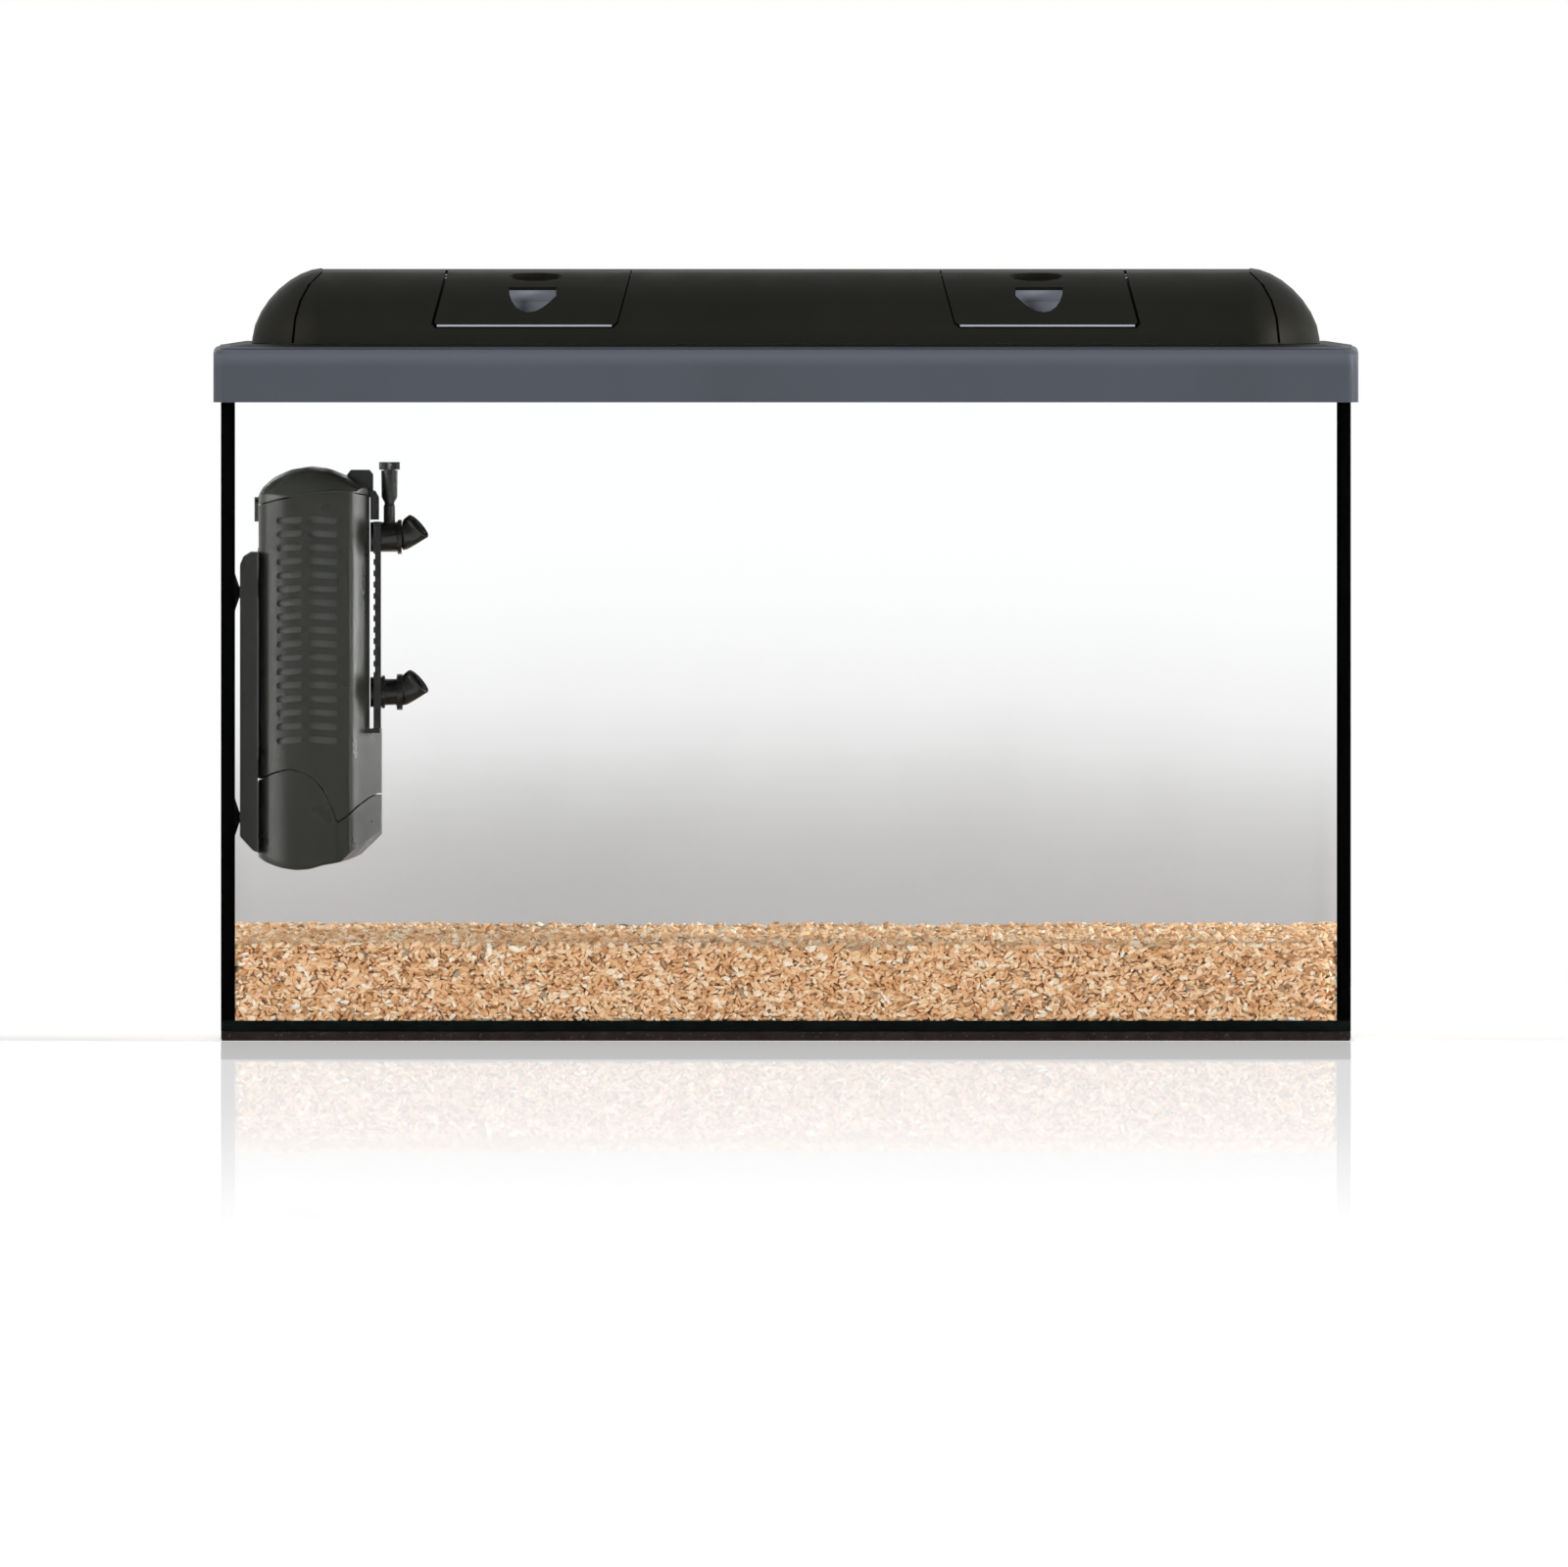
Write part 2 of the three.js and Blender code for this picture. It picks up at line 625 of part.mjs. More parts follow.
function slot(centre, width, z) {
  const half = 1.8;
  const shape = new THREE.Shape();
  shape.absarc(centre + width / 2 - half, z, half, -Math.PI / 2, Math.PI / 2);
  shape.absarc(centre - width / 2 + half, z, half, Math.PI / 2, 1.5 * Math.PI);
  return prism(shape, 'y', -CASE_HALF_DEPTH - 5, -CASE_HALF_DEPTH + 9, 1);
}

const SLOT_ROWS = 17;
const SLOT_TOP = 277;
const SLOT_PITCH = 7.3;

function makeCase() {
  const outer = prism(caseOutline(0), 'z', 80, 300);
  const inner = prism(caseOutline(CASE_WALL), 'z', 70, 310);
  const heights = between(raised(CUP_SEAM, SEAM_GAP), raised(HEAD_SEAM, -SEAM_GAP));
  const hollow = outer.subtract(inner).intersect(heights);
  const recess = box([RAIL_SIDE, -40, SHOULDER], [60, 40, 300]);
  const wallSide = RAIL_SIDE - CASE_WALL;
  const innerWall = box([wallSide, -18, SHOULDER], [RAIL_SIDE, CASE_HALF_DEPTH - 1, 288.4]);
  const shelf = box(
    [wallSide, -14, SHOULDER - CASE_WALL],
    [CASE_RIGHT - 1, CASE_HALF_DEPTH - 2, SHOULDER],
  );
  const slots = [];
  for (let row = 0; row < SLOT_ROWS; row++) {
    const z = SLOT_TOP - row * SLOT_PITCH;
    slots.push(slot(-13.8, 13.5, z), slot(4.1, 15.2, z));
  }
  const hooks = [236, 140].map((z) => box([-34.5, -8, z], [CASE_LEFT + 1, 8, z + 10]));
  const body = less(hollow, [recess]).add(innerWall.intersect(outer)).add(shelf.intersect(outer));
  const ports = [
    rod('x', OUTLET_Y, UPPER_OUTLET_Z, 5, 20, 40),
    rod('x', OUTLET_Y, LOWER_OUTLET_Z, 5, 20, 40),
  ];
  return part('filter_case', 'filter', geometryOf(joined([less(body, [...slots, ...ports]), ...hooks])));
}

// All that lies beyond the chamfer under the cup's right side, moved in by a depth.
function beyondChamfer(depth) {
  const along = new THREE.Vector3(12, 36, 8).normalize();
  const inwards = new THREE.Vector3(-1, 0.33, -1).normalize();
  const outwards = new THREE.Vector3().crossVectors(inwards, along).normalize();
  inwards.crossVectors(outwards, along);
  const block = new THREE.BoxGeometry(200, 200, 60);
  block.translate(0, 0, 30 - depth);
  block.applyMatrix4(new THREE.Matrix4().makeBasis(along, inwards, outwards));
  block.translate(21.5, -31, 102.8);
  return solid(block);
}

function makeCup() {
  const outer = prism(caseOutline(0), 'z', 80, 160);
  const inner = prism(caseOutline(CASE_WALL), 'z', 70, 170);
  const body = outer.intersect(between(CUP_FLOOR, raised(CUP_SEAM, -SEAM_GAP)));
  const hollow = inner.intersect(between(raised(CUP_FLOOR, CASE_WALL), level(165)));
  const groove = box([11.6, -CASE_HALF_DEPTH - 1, 97], [12.2, 0.7 - CASE_HALF_DEPTH, 118]);
  const cup = less(body, [hollow.subtract(beyondChamfer(CASE_WALL)), beyondChamfer(0), groove]);
  return part('filter_cup', 'filter', geometryOf(cup));
}

function makeHead() {
  const crown = (drop) => {
    const front = [...raised(HEAD_CROWN, -drop), [29, 270], [-31, 270]].reverse();
    const side = [...raised(HEAD_CROWN_SIDE, -drop), [36, 270], [-36, 270]].reverse();
    const fromFront = prism(front, 'y', -60, 60);
    const fromSide = prism(side, 'x', -60, 60);
    return fromFront.intersect(fromSide);
  };
  const outer = prism(caseOutline(0), 'z', 270, 310).intersect(crown(0));
  const inner = prism(caseOutline(CASE_WALL), 'z', 260, 310).intersect(crown(CASE_WALL));
  const limit = between(raised(HEAD_SEAM, 0.2), level(320));
  const notch = box([16, 5, 280], [40, 25, 320]);
  const lug = box([-32.6, -6, 276], [-30.3, 6, 288]).add(box([-32.6, -6, 286], [-28.5, 6, 289]));
  const head = less(outer.subtract(inner).intersect(limit), [notch]).add(lug);
  return part('filter_head', 'filter', geometryOf(head));
}

function makeGlandBlock() {
  const outline = [[16.3, 288.8], [30.9, 288.8], [30.9, 301], [29, 303.4], [19, 303.4], [16.3, 300]];
  const block = less(prism(outline, 'y', 5.3, 24.7), [rod('z', 24, 15, 3, 294, 310, 12)]);
  return part('filter_gland', 'filterDark', geometryOf(block));
}

function makeFoam() {
  const plan = prism(caseOutline(CASE_WALL + 1), 'z', 80, 300, 2);
  const right = box([25.5, -60, 160], [60, 60, 300]);
  const heights = between(raised(CUP_FLOOR, CASE_WALL + 0.6), level(255));
  const foam = less(plan, [right, beyondChamfer(CASE_WALL + 0.6)]).intersect(heights);
  return part('filter_foam', 'foam', geometryOf(foam));
}

function makePump() {
  const axisX = -3;
  const chamber = turned([
    [2, 257.5], [16, 257.5], [16, 274], [14.5, 274], [14.5, 259], [2, 259], [2, 257.5],
  ], 16);
  chamber.translate(axisX, OUTLET_Y, 0);
  const duct = rod('x', OUTLET_Y, UPPER_OUTLET_Z, 5.5, axisX + 13, 26.2, 12);
  const bore = rod('x', OUTLET_Y, UPPER_OUTLET_Z, 4, axisX + 5, 27, 12);
  const ductOutside = duct.subtract(rod('z', axisX, OUTLET_Y, 15, 250, 280, 16));
  const chamberSolid = solid(chamber).add(ductOutside).subtract(bore);
  const motor = turned([
    [9, 274.3], [17, 274.3], [17, 290], [10, 297], [0, 297], [0, 295], [9, 295], [9, 274.3],
  ], 16);
  motor.translate(axisX, OUTLET_Y, 0);
  const rotor = turned([
    [1.6, 261], [3.5, 261], [3.5, 273], [8, 274], [8, 294], [1.6, 294], [1.6, 261],
  ], 16);
  const vanes = [];
  for (let i = 0; i < 6; i++) {
    const vane = new THREE.BoxGeometry(9, 1.2, 10);
    vane.translate(7, 0, 267);
    vane.rotateZ((i * Math.PI) / 3);
    vanes.push(solid(vane));
  }
  const impeller = geometryOf(joined([solid(rotor), ...vanes]).subtract(rod('z', 0, 0, 1.6, 250, 300, 12)));
  impeller.translate(axisX, OUTLET_Y, 0);
  const shaft = rod('z', axisX, OUTLET_Y, 1.25, 259.3, 294.7, 12);
  return [
    part('pump_chamber', 'filterDark', geometryOf(chamberSolid)),
    part('motor_block', 'filterDark', motor),
    part('impeller', 'filterDark', impeller),
    part('impeller_shaft', 'ceramic', geometryOf(shaft)),
  ];
}

// The toothed rail beside the case, and the clip that holds its top.
function makeRail() {
  const rail = box([31, OUTLET_Y - 13, 166.3], [35, OUTLET_Y + 13, 276]);
  const teeth = [];
  for (let z = 196; z < 258; z += 6) {
    teeth.push(box([30, OUTLET_Y - 14, z], [31.8, OUTLET_Y + 14, z + 3]));
  }
  const clip = prism([[29.3, 277], [34, 277], [34, 289], [32, 292.5], [29.3, 292.5]], 'y', -9, 4);
  const necks = [UPPER_OUTLET_Z, LOWER_OUTLET_Z].map((z) => rod('x', OUTLET_Y, z, 8.3, 29, 36));
  return [
    part('outlet_rail', 'filterDark', geometryOf(less(rail, [...teeth, ...necks]))),
    part('rail_clip', 'filterDark', geometryOf(clip)),
  ];
}

function makeOutlet(name, z, profile, cuts) {
  const barrel = turned(profile, 16, true);
  barrel.translate(0, OUTLET_Y, z);
  return part(name, 'filterDark', geometryOf(less(solid(barrel), cuts)));
}

// A ball with a flat flared spout. It turns about the outlet's own axis.
function makeNozzle(name, z) {
  const out = new THREE.Vector3(0.6, -0.6, 0.53).normalize();
  const across = new THREE.Vector3(0.66, 0, -0.75).normalize();
  across.addScaledVector(out, -across.dot(out)).normalize();
  const toSpout = new THREE.Matrix4().makeBasis(across, out, new THREE.Vector3().crossVectors(across, out));
  const flat = (points, thickness) => {
    const geometry = new THREE.ExtrudeGeometry(
      new THREE.Shape(points.map(([a, b]) => new THREE.Vector2(a, b))),
      { depth: thickness, bevelEnabled: false },
    );
    geometry.translate(0, 0, -thickness / 2);
    geometry.applyMatrix4(toSpout);
    return solid(geometry);
  };
  const ball = solid(new THREE.SphereGeometry(6.2, 12, 8));
  const spout = flat([[-2.6, 1], [2.6, 1], [5, 6], [8, 11.5], [-8, 11.5], [-5, 6]], 6);
  const slit = flat([[-4.5, 5], [4.5, 5], [5.5, 14], [-5.5, 14]], 2);
  const bore = rod('x', 0, 0, 3, -10, 2, 12);
  const duct = flat([[-2, 0], [2, 0], [2, 8], [-2, 8]], 2);
  const nozzle = geometryOf(less(ball.add(spout), [slit, bore, duct]));
  const mesh = part(name, 'filterDark', nozzle);
  mesh.position.set(48, OUTLET_Y, z);
  return mesh;
}

function makeOutlets() {
  const valveX = 39.5;
  const upper = [
    [6.5, 34], [6.5, 46], [9.2, 46], [9.2, 44], [8, 43.5], [8, 29.3], [4.5, 29.3], [4.5, 34], [6.5, 34],
  ];
  const lower = [
    [6.5, 36], [6.5, 46.5], [9.6, 46.5], [9.6, 43.5], [7, 43], [7, 37.5], [8.8, 37], [8.8, 35.3], [8, 35.3],
    [8, 29.3], [4.5, 29.3], [4.5, 36], [6.5, 36],
  ];
  const valveTop = 306;
  const valve = turned([
    [1.2, 272.5], [3.1, 272.5], [3.1, 284.4], [2.6, 285], [2.6, 286], [4.2, 289], [4.4, 303.2], [3, 303.2],
    [3, valveTop], [1.2, valveTop], [1.2, 272.5],
  ], 16);
  const ridges = 16;
  const rim = new THREE.Shape();
  const steps = Array.from({ length: 2 * ridges }, (_, i) => i);
  rim.setFromPoints(steps.map((i) => {
    const angle = (Math.PI * i) / ridges;
    const radius = i % 2 === 0 ? 5.5 : 5;
    return new THREE.Vector2(radius * Math.cos(angle), radius * Math.sin(angle));
  }));
  const knob = prism(rim, 'z', 303.5, 307.6).subtract(rod('z', 0, 0, 3.4, 300, 306.4));
  const valveMesh = part('air_valve_body', 'filterDark', valve);
  valveMesh.position.set(valveX, OUTLET_Y, 0);
  const knobMesh = part('air_valve_knob', 'filterDark', geometryOf(knob));
  knobMesh.position.set(valveX, OUTLET_Y, 0);
  const stemHole = rod('z', valveX, OUTLET_Y, 3.4, UPPER_OUTLET_Z, 300, 16);
  return [
    makeOutlet('upper_outlet', UPPER_OUTLET_Z, upper, [stemHole]),
    makeOutlet('lower_outlet', LOWER_OUTLET_Z, lower, []),
    makeNozzle('upper_nozzle', UPPER_OUTLET_Z),
    makeNozzle('lower_nozzle', LOWER_OUTLET_Z),
    valveMesh,
    knobMesh,
  ];
}

const SUCTION_CUPS = [
  ['upper_front_suction_cup', -17, 238.5],
  ['upper_rear_suction_cup', 17, 238.5],
  ['lower_front_suction_cup', -17, 119],
  ['lower_rear_suction_cup', 17, 119],
];

function makeBracket() {
  const outline = [
    [-39.9, 109], [-39.9, 253], [-38, 257.5], [-34, 260], [-30.4, 260], [-30.4, 100.5], [-33, 101.5],
  ];
  const pockets = [235.5, 139.5].map((z) => box([-35, -8.5, z], [-30, 8.5, z + 42]));
  const holes = SUCTION_CUPS.map(([, y, z]) => rod('x', y, z, 3.4, -41, -37, 12));
  const plate = less(prism(outline, 'y', -33, 33), [...pockets, ...holes]);
  const parts = [part('filter_bracket', 'filterDark', geometryOf(plate))];
  for (const [name, y, z] of SUCTION_CUPS) {
    const profile = [
      [0, 1], [9, 0.8], [15.5, 0], [15.5, 0.7], [8, 3], [4.5, 4.2], [3, 4.6], [3, 7.2], [0, 7.2],
    ];
    const cup = turned(profile, 16, true);
    cup.translate(-44.9, y, z);
    parts.push(part(name, 'rubber', cup));
  }
  return parts;
}

// ---------------------------------------------------------------- assembly

const hood = new THREE.Group();
hood.add(makeHoodFrame(), makeHoodDeck(), ...makeDome(), ...makeLamp());

const filter = new THREE.Group();
filter.position.set(FILTER_X, FILTER_Y, -FILTER_DROP);
filter.add(makeCase(), makeCup(), makeHead(), makeGlandBlock(), makeFoam(), ...makePump());
filter.add(...makeRail(), ...makeOutlets(), ...makeBracket());

const aquarium = new THREE.Group();
aquarium.add(makeTank(), filter, hood);

export default aquarium;
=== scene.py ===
"""A rimless aquarium with a feeding hood and an internal filter, seen square from the front."""

import math

import bmesh
import bpy
import numpy as np
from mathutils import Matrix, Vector
from mathutils.bvhtree import BVHTree


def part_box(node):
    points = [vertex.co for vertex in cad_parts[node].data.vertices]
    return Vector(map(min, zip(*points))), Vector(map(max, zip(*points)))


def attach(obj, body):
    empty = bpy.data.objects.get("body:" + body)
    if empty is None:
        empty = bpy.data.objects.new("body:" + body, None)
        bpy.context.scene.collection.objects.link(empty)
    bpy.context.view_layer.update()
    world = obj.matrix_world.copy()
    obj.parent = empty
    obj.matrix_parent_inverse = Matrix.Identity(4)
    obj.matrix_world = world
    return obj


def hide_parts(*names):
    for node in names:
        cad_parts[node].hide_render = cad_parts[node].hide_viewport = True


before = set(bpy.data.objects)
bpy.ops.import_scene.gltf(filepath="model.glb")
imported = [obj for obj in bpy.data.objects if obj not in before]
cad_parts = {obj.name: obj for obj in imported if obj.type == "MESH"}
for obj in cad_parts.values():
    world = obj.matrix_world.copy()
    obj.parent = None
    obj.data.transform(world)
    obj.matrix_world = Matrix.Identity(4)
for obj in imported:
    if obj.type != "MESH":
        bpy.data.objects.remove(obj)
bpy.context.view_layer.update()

MM = 0.001
rng = np.random.default_rng(7)

# ---------------------------------------------------------------- camera, floor and light

VIEW_WIDTH = 0.8326  # width of the picture, in metres at the front pane
VIEW_CENTRE = (-0.001, 0.1366)  # X and Z at the middle of the picture
VIEW_TILT = math.radians(0.4)  # how far the camera looks down
VIEW_DISTANCE = 60.0
FLOOR_SIDE = 12.0
FLOOR_FRONT = 90.0
FLOOR_BACK = 4.0
FLOOR_DROP = 0.2 * MM  # how far the floor lies under the part, so that the two never touch
POLISH_FAR = -17.5  # Y where the floor's polish ends, and where it starts
POLISH_NEAR = -0.15
POLISH_LEVELS = [
    (0.0, 0.0), (0.07, 0.03), (0.18, 0.07), (0.28, 0.10), (0.38, 0.15), (0.49, 0.20), (0.588, 0.25),
    (0.70, 0.30), (0.917, 0.35), (0.922, 0.53), (0.9995, 0.55), (1.0, 0.0),
]  # fmt: skip

# The studio's light by direction: (place, level) pairs from camera side to rear, and from low to high.
DEPTH_LEVELS = [(-1.0, 0.05), (-0.2, 0.10), (0.24, 0.75), (1.0, 1.0)]
HEIGHT_LEVELS = [(-1.0, 1.0), (0.12, 1.0), (0.40, 0.75), (1.0, 1.0)]

# Lamps: a name, the direction towards the lamp, its strength, and its width in degrees.
LAMPS = [
    ("left_softbox", (-0.806, -0.565, 0.17), 2.6, 50),
    ("right_softbox", (0.905, -0.39, 0.17), 3.4, 16),
    ("right_rim", (0.766, 0.643, 0.08), 0.34, 16),
    ("high_left", (-0.5, 0.0, 0.87), 0.15, 30),
    ("high_right", (0.5, 0.0, 0.87), 0.15, 30),
]


def make_camera():
    data = bpy.data.cameras.new("camera")
    data.type = "ORTHO"
    data.ortho_scale = VIEW_WIDTH
    data.clip_end = 2 * VIEW_DISTANCE
    camera = bpy.data.objects.new("camera", data)
    bpy.context.scene.collection.objects.link(camera)
    pane_low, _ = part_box("front_pane")
    target = Vector((VIEW_CENTRE[0], pane_low.y, VIEW_CENTRE[1]))
    forward = Vector((0, math.cos(VIEW_TILT), -math.sin(VIEW_TILT)))
    camera.location = target - forward * VIEW_DISTANCE
    camera.rotation_euler = (math.pi / 2 - VIEW_TILT, 0, 0)
    bpy.context.scene.camera = camera


def soft_sun(name, towards, strength, width):
    """A distant soft lamp that shines from the direction called towards."""
    data = bpy.data.lights.new(name, "SUN")
    data.energy = strength
    data.angle = math.radians(width)
    light = bpy.data.objects.new(name, data)
    light.rotation_euler = Vector(towards).to_track_quat("Z", "Y").to_euler()
    bpy.context.scene.collection.objects.link(light)


def fill_bar(bar, stops):
    """Sets a colour ramp's stops from (position, colour) pairs in rising order."""
    for element, (position, colour) in zip(bar.elements, (stops[0], stops[-1])):
        element.position = position
        element.color = (*colour, 1)
    for position, colour in stops[1:-1]:
        bar.elements.new(position).color = (*colour, 1)


def make_world():
    """A white studio: dark behind the camera, so that dark plastics stay dark, and white elsewhere."""
    world = bpy.data.worlds.new("studio")
    world.use_nodes = True
    nodes, links = world.node_tree.nodes, world.node_tree.links
    seen = nodes["Background"]
    seen.inputs["Color"].default_value = (1, 1, 1, 1)
    lighting = nodes.new("ShaderNodeBackground")
    place = nodes.new("ShaderNodeTexCoord")
    parts = nodes.new("ShaderNodeSeparateXYZ")
    links.new(place.outputs["Generated"], parts.inputs["Vector"])
    product = nodes.new("ShaderNodeVectorMath")
    product.operation = "MULTIPLY"
    for i, (axis, levels) in enumerate((("Y", DEPTH_LEVELS), ("Z", HEIGHT_LEVELS))):
        shift = nodes.new("ShaderNodeMapRange")
        shift.inputs["From Min"].default_value = -1
        links.new(parts.outputs[axis], shift.inputs["Value"])
        ramp = nodes.new("ShaderNodeValToRGB")
        fill_bar(ramp.color_ramp, greys([((at + 1) / 2, level) for at, level in levels]))
        links.new(shift.outputs["Result"], ramp.inputs["Fac"])
        links.new(ramp.outputs["Color"], product.inputs[i])
    links.new(product.outputs["Vector"], lighting.inputs["Color"])
    camera_ray = nodes.new("ShaderNodeLightPath").outputs["Is Camera Ray"]
    mix = nodes.new("ShaderNodeMixShader")
    links.new(camera_ray, mix.inputs[0])
    links.new(lighting.outputs[0], mix.inputs[1])
    links.new(seen.outputs[0], mix.inputs[2])
    links.new(mix.outputs[0], nodes["World Output"].inputs["Surface"])
    bpy.context.scene.world = world


def make_light():
    make_world()
    for lamp in LAMPS:
        soft_sun(*lamp)
    bpy.context.scene.view_settings.view_transform = "Standard"


# ---------------------------------------------------------------- node helpers


class Tree:
    """A material's nodes, with short calls for the ones used most."""

    def __init__(self, name):
        self.material = bpy.data.materials.new(name)
        self.material.use_nodes = True
        self.nodes = self.material.node_tree.nodes
        self.nodes.clear()
        self.output = self.nodes.new("ShaderNodeOutputMaterial")
        self.place = self.nodes.new("ShaderNodeTexCoord").outputs["Object"]

    def link(self, source, target):
        self.material.node_tree.links.new(source, target)

    def fill(self, socket, value):
        if isinstance(value, bpy.types.NodeSocket):
            self.link(value, socket)
        elif isinstance(value, tuple) and len(value) == 3 and socket.type == "RGBA":
            socket.default_value = (*value, 1)
        else:
            socket.default_value = value

    def node(self, kind, inputs=(), **settings):
        made = self.nodes.new(kind)
        for key, value in settings.items():
            setattr(made, key, value)
        for key, value in dict(inputs).items():
            self.fill(made.inputs[key], value)
        return made

    def surface(self, shader):
        self.link(shader, self.output.inputs["Surface"])
        return self.material

    def plain(self, inputs):
        return self.surface(self.node("ShaderNodeBsdfPrincipled", inputs).outputs["BSDF"])

    def noise(self, scale, detail=3.0, roughness=0.5, place=None):
        inputs = {"Vector": place or self.place, "Scale": scale, "Detail": detail}
        inputs["Roughness"] = roughness
        return self.node("ShaderNodeTexNoise", inputs).outputs["Fac"]

    def stretched(self, factors):
        inputs = {"Vector": self.place, "Scale": factors}
        return self.node("ShaderNodeMapping", inputs).outputs["Vector"]

    def range(self, value, low, high, from_low=0.0, from_high=1.0):
        inputs = {"Value": value, "From Min": from_low, "From Max": from_high}
        inputs |= {"To Min": low, "To Max": high}
        return self.node("ShaderNodeMapRange", inputs).outputs["Result"]

    def maths(self, operation, first, second=0.0):
        made = self.node("ShaderNodeMath", {0: first, 1: second}, operation=operation)
        return made.outputs["Value"]

    def ramp(self, value, stops):
        made = self.node("ShaderNodeValToRGB", {"Fac": value})
        fill_bar(made.color_ramp, stops)
        return made.outputs["Color"]

    def mixed(self, factor, first, second):
        made = self.node("ShaderNodeMix", data_type="RGBA")
        self.fill(made.inputs[0], factor)
        self.fill(made.inputs[6], first)
        self.fill(made.inputs[7], second)
        return made.outputs[2]

    def blended(self, factor, first, second):
        """Two shaders mixed by a factor."""
        return self.node("ShaderNodeMixShader", {0: factor, 1: first, 2: second}).outputs["Shader"]

    def bump(self, height, distance, strength=1.0):
        inputs = {"Height": height, "Distance": distance, "Strength": strength}
        return self.node("ShaderNodeBump", inputs).outputs["Normal"]

    def along(self, axis):
        return self.node("ShaderNodeSeparateXYZ", {"Vector": self.place}).outputs[axis]


def grey(level, tint=(1, 1, 1)):
    return tuple(level * t for t in tint)


def greys(levels):
    return [(place, grey(level)) for place, level in levels]


# ---------------------------------------------------------------- materials


def moulded_plastic(name, colour, roughness, specular=0.4, gloss=(1, 1, 1), fade=None):
    """Moulded plastic: faint flow streaks, a fine grain, and a gloss that is a little uneven.

    A fade is a second colour, and the two heights in the node's own Z between which it takes over."""
    tree = Tree(name)
    flow = tree.noise(9.0, 4.0, place=tree.stretched((1, 1, 0.35)))
    uneven = tree.noise(60.0, 3.0)
    body = tree.mixed(tree.range(flow, 0, 1, 0.35, 0.65), colour, grey(1.15, colour))
    if fade:
        upper, start, end = fade
        body = tree.mixed(tree.range(tree.along("Z"), 0, 1, start, end), body, upper)
    inputs = {
        "Base Color": body,
        "Roughness": tree.range(uneven, roughness - 0.04, roughness + 0.05, 0.3, 0.7),
        "Specular IOR Level": specular,
        "Specular Tint": gloss,
        "Normal": tree.bump(tree.noise(1800.0, 2.0), 0.00002),
    }
    return tree.plain(inputs)


def soft_rubber(name, colour, roughness, specular=0.25):
    tree = Tree(name)
    cloudy = tree.noise(70.0, 4.0)
    inputs = {
        "Base Color": tree.mixed(tree.range(cloudy, 0, 1, 0.3, 0.7), colour, grey(1.4, colour)),
        "Roughness": tree.range(cloudy, roughness - 0.08, roughness + 0.08, 0.3, 0.7),
        "Specular IOR Level": specular,
        "Normal": tree.bump(tree.noise(420.0, 3.0), 0.00003),
    }
    return tree.plain(inputs)


def clear_glass():
    """Clear panes: what is behind shows through, with a faint gloss that grows at a slant."""
    tree = Tree("clear_glass")
    smudge = tree.noise(14.0, 4.0, 0.6)
    gloss = tree.node(
        "ShaderNodeBsdfGlossy",
        {"Color": (1, 1, 1), "Roughness": tree.range(smudge, 0.0, 0.04, 0.45, 0.75)},
    )
    through = tree.node("ShaderNodeBsdfTransparent", {"Color": (0.997, 1.0, 0.9985)})
    slant = tree.node("ShaderNodeFresnel", {"IOR": 1.09}).outputs["Fac"]
    return tree.surface(tree.blended(slant, through.outputs["BSDF"], gloss.outputs["BSDF"]))


# The film is greyest below the first height and clear above the second, in metres. Its tones are
# (share of the way up, density).
FILM_GREY_BELOW = 0.060
FILM_CLEAR_ABOVE = 0.260
FILM_TONES = [
    (0.00, 0.356), (0.10, 0.346), (0.22, 0.305), (0.35, 0.228), (0.48, 0.1325), (0.61, 0.067),
    (0.74, 0.0334), (0.87, 0.0099), (1.00, 0.0),
]  # fmt: skip


def graded_film():
    """A film that is clear above and grades to grey behind the gravel. It pales at its sides."""
    tree = Tree("graded_film")
    off_centre = tree.maths("ABSOLUTE", tree.along("X"))
    lift = tree.range(off_centre, 0.0, 0.012, 0.12, 0.3)
    mottle = tree.range(tree.noise(14.0, 2.0), -0.003, 0.003, 0.3, 0.7)
    height = tree.maths("ADD", tree.along("Z"), tree.maths("ADD", lift, mottle))
    share = tree.range(height, 0, 1, FILM_GREY_BELOW, FILM_CLEAR_ABOVE)
    density = tree.ramp(share, greys(FILM_TONES))
    # The film is drawn grey by a diffuse layer mixed in by height, darker towards the bottom.
    grey_tone = tree.node("ShaderNodeBsdfDiffuse", {"Color": grey(0.40, (1, 0.82, 0.84))})
    clear = tree.node("ShaderNodeBsdfTransparent")
    return tree.surface(tree.blended(density, clear.outputs["BSDF"], grey_tone.outputs["BSDF"]))


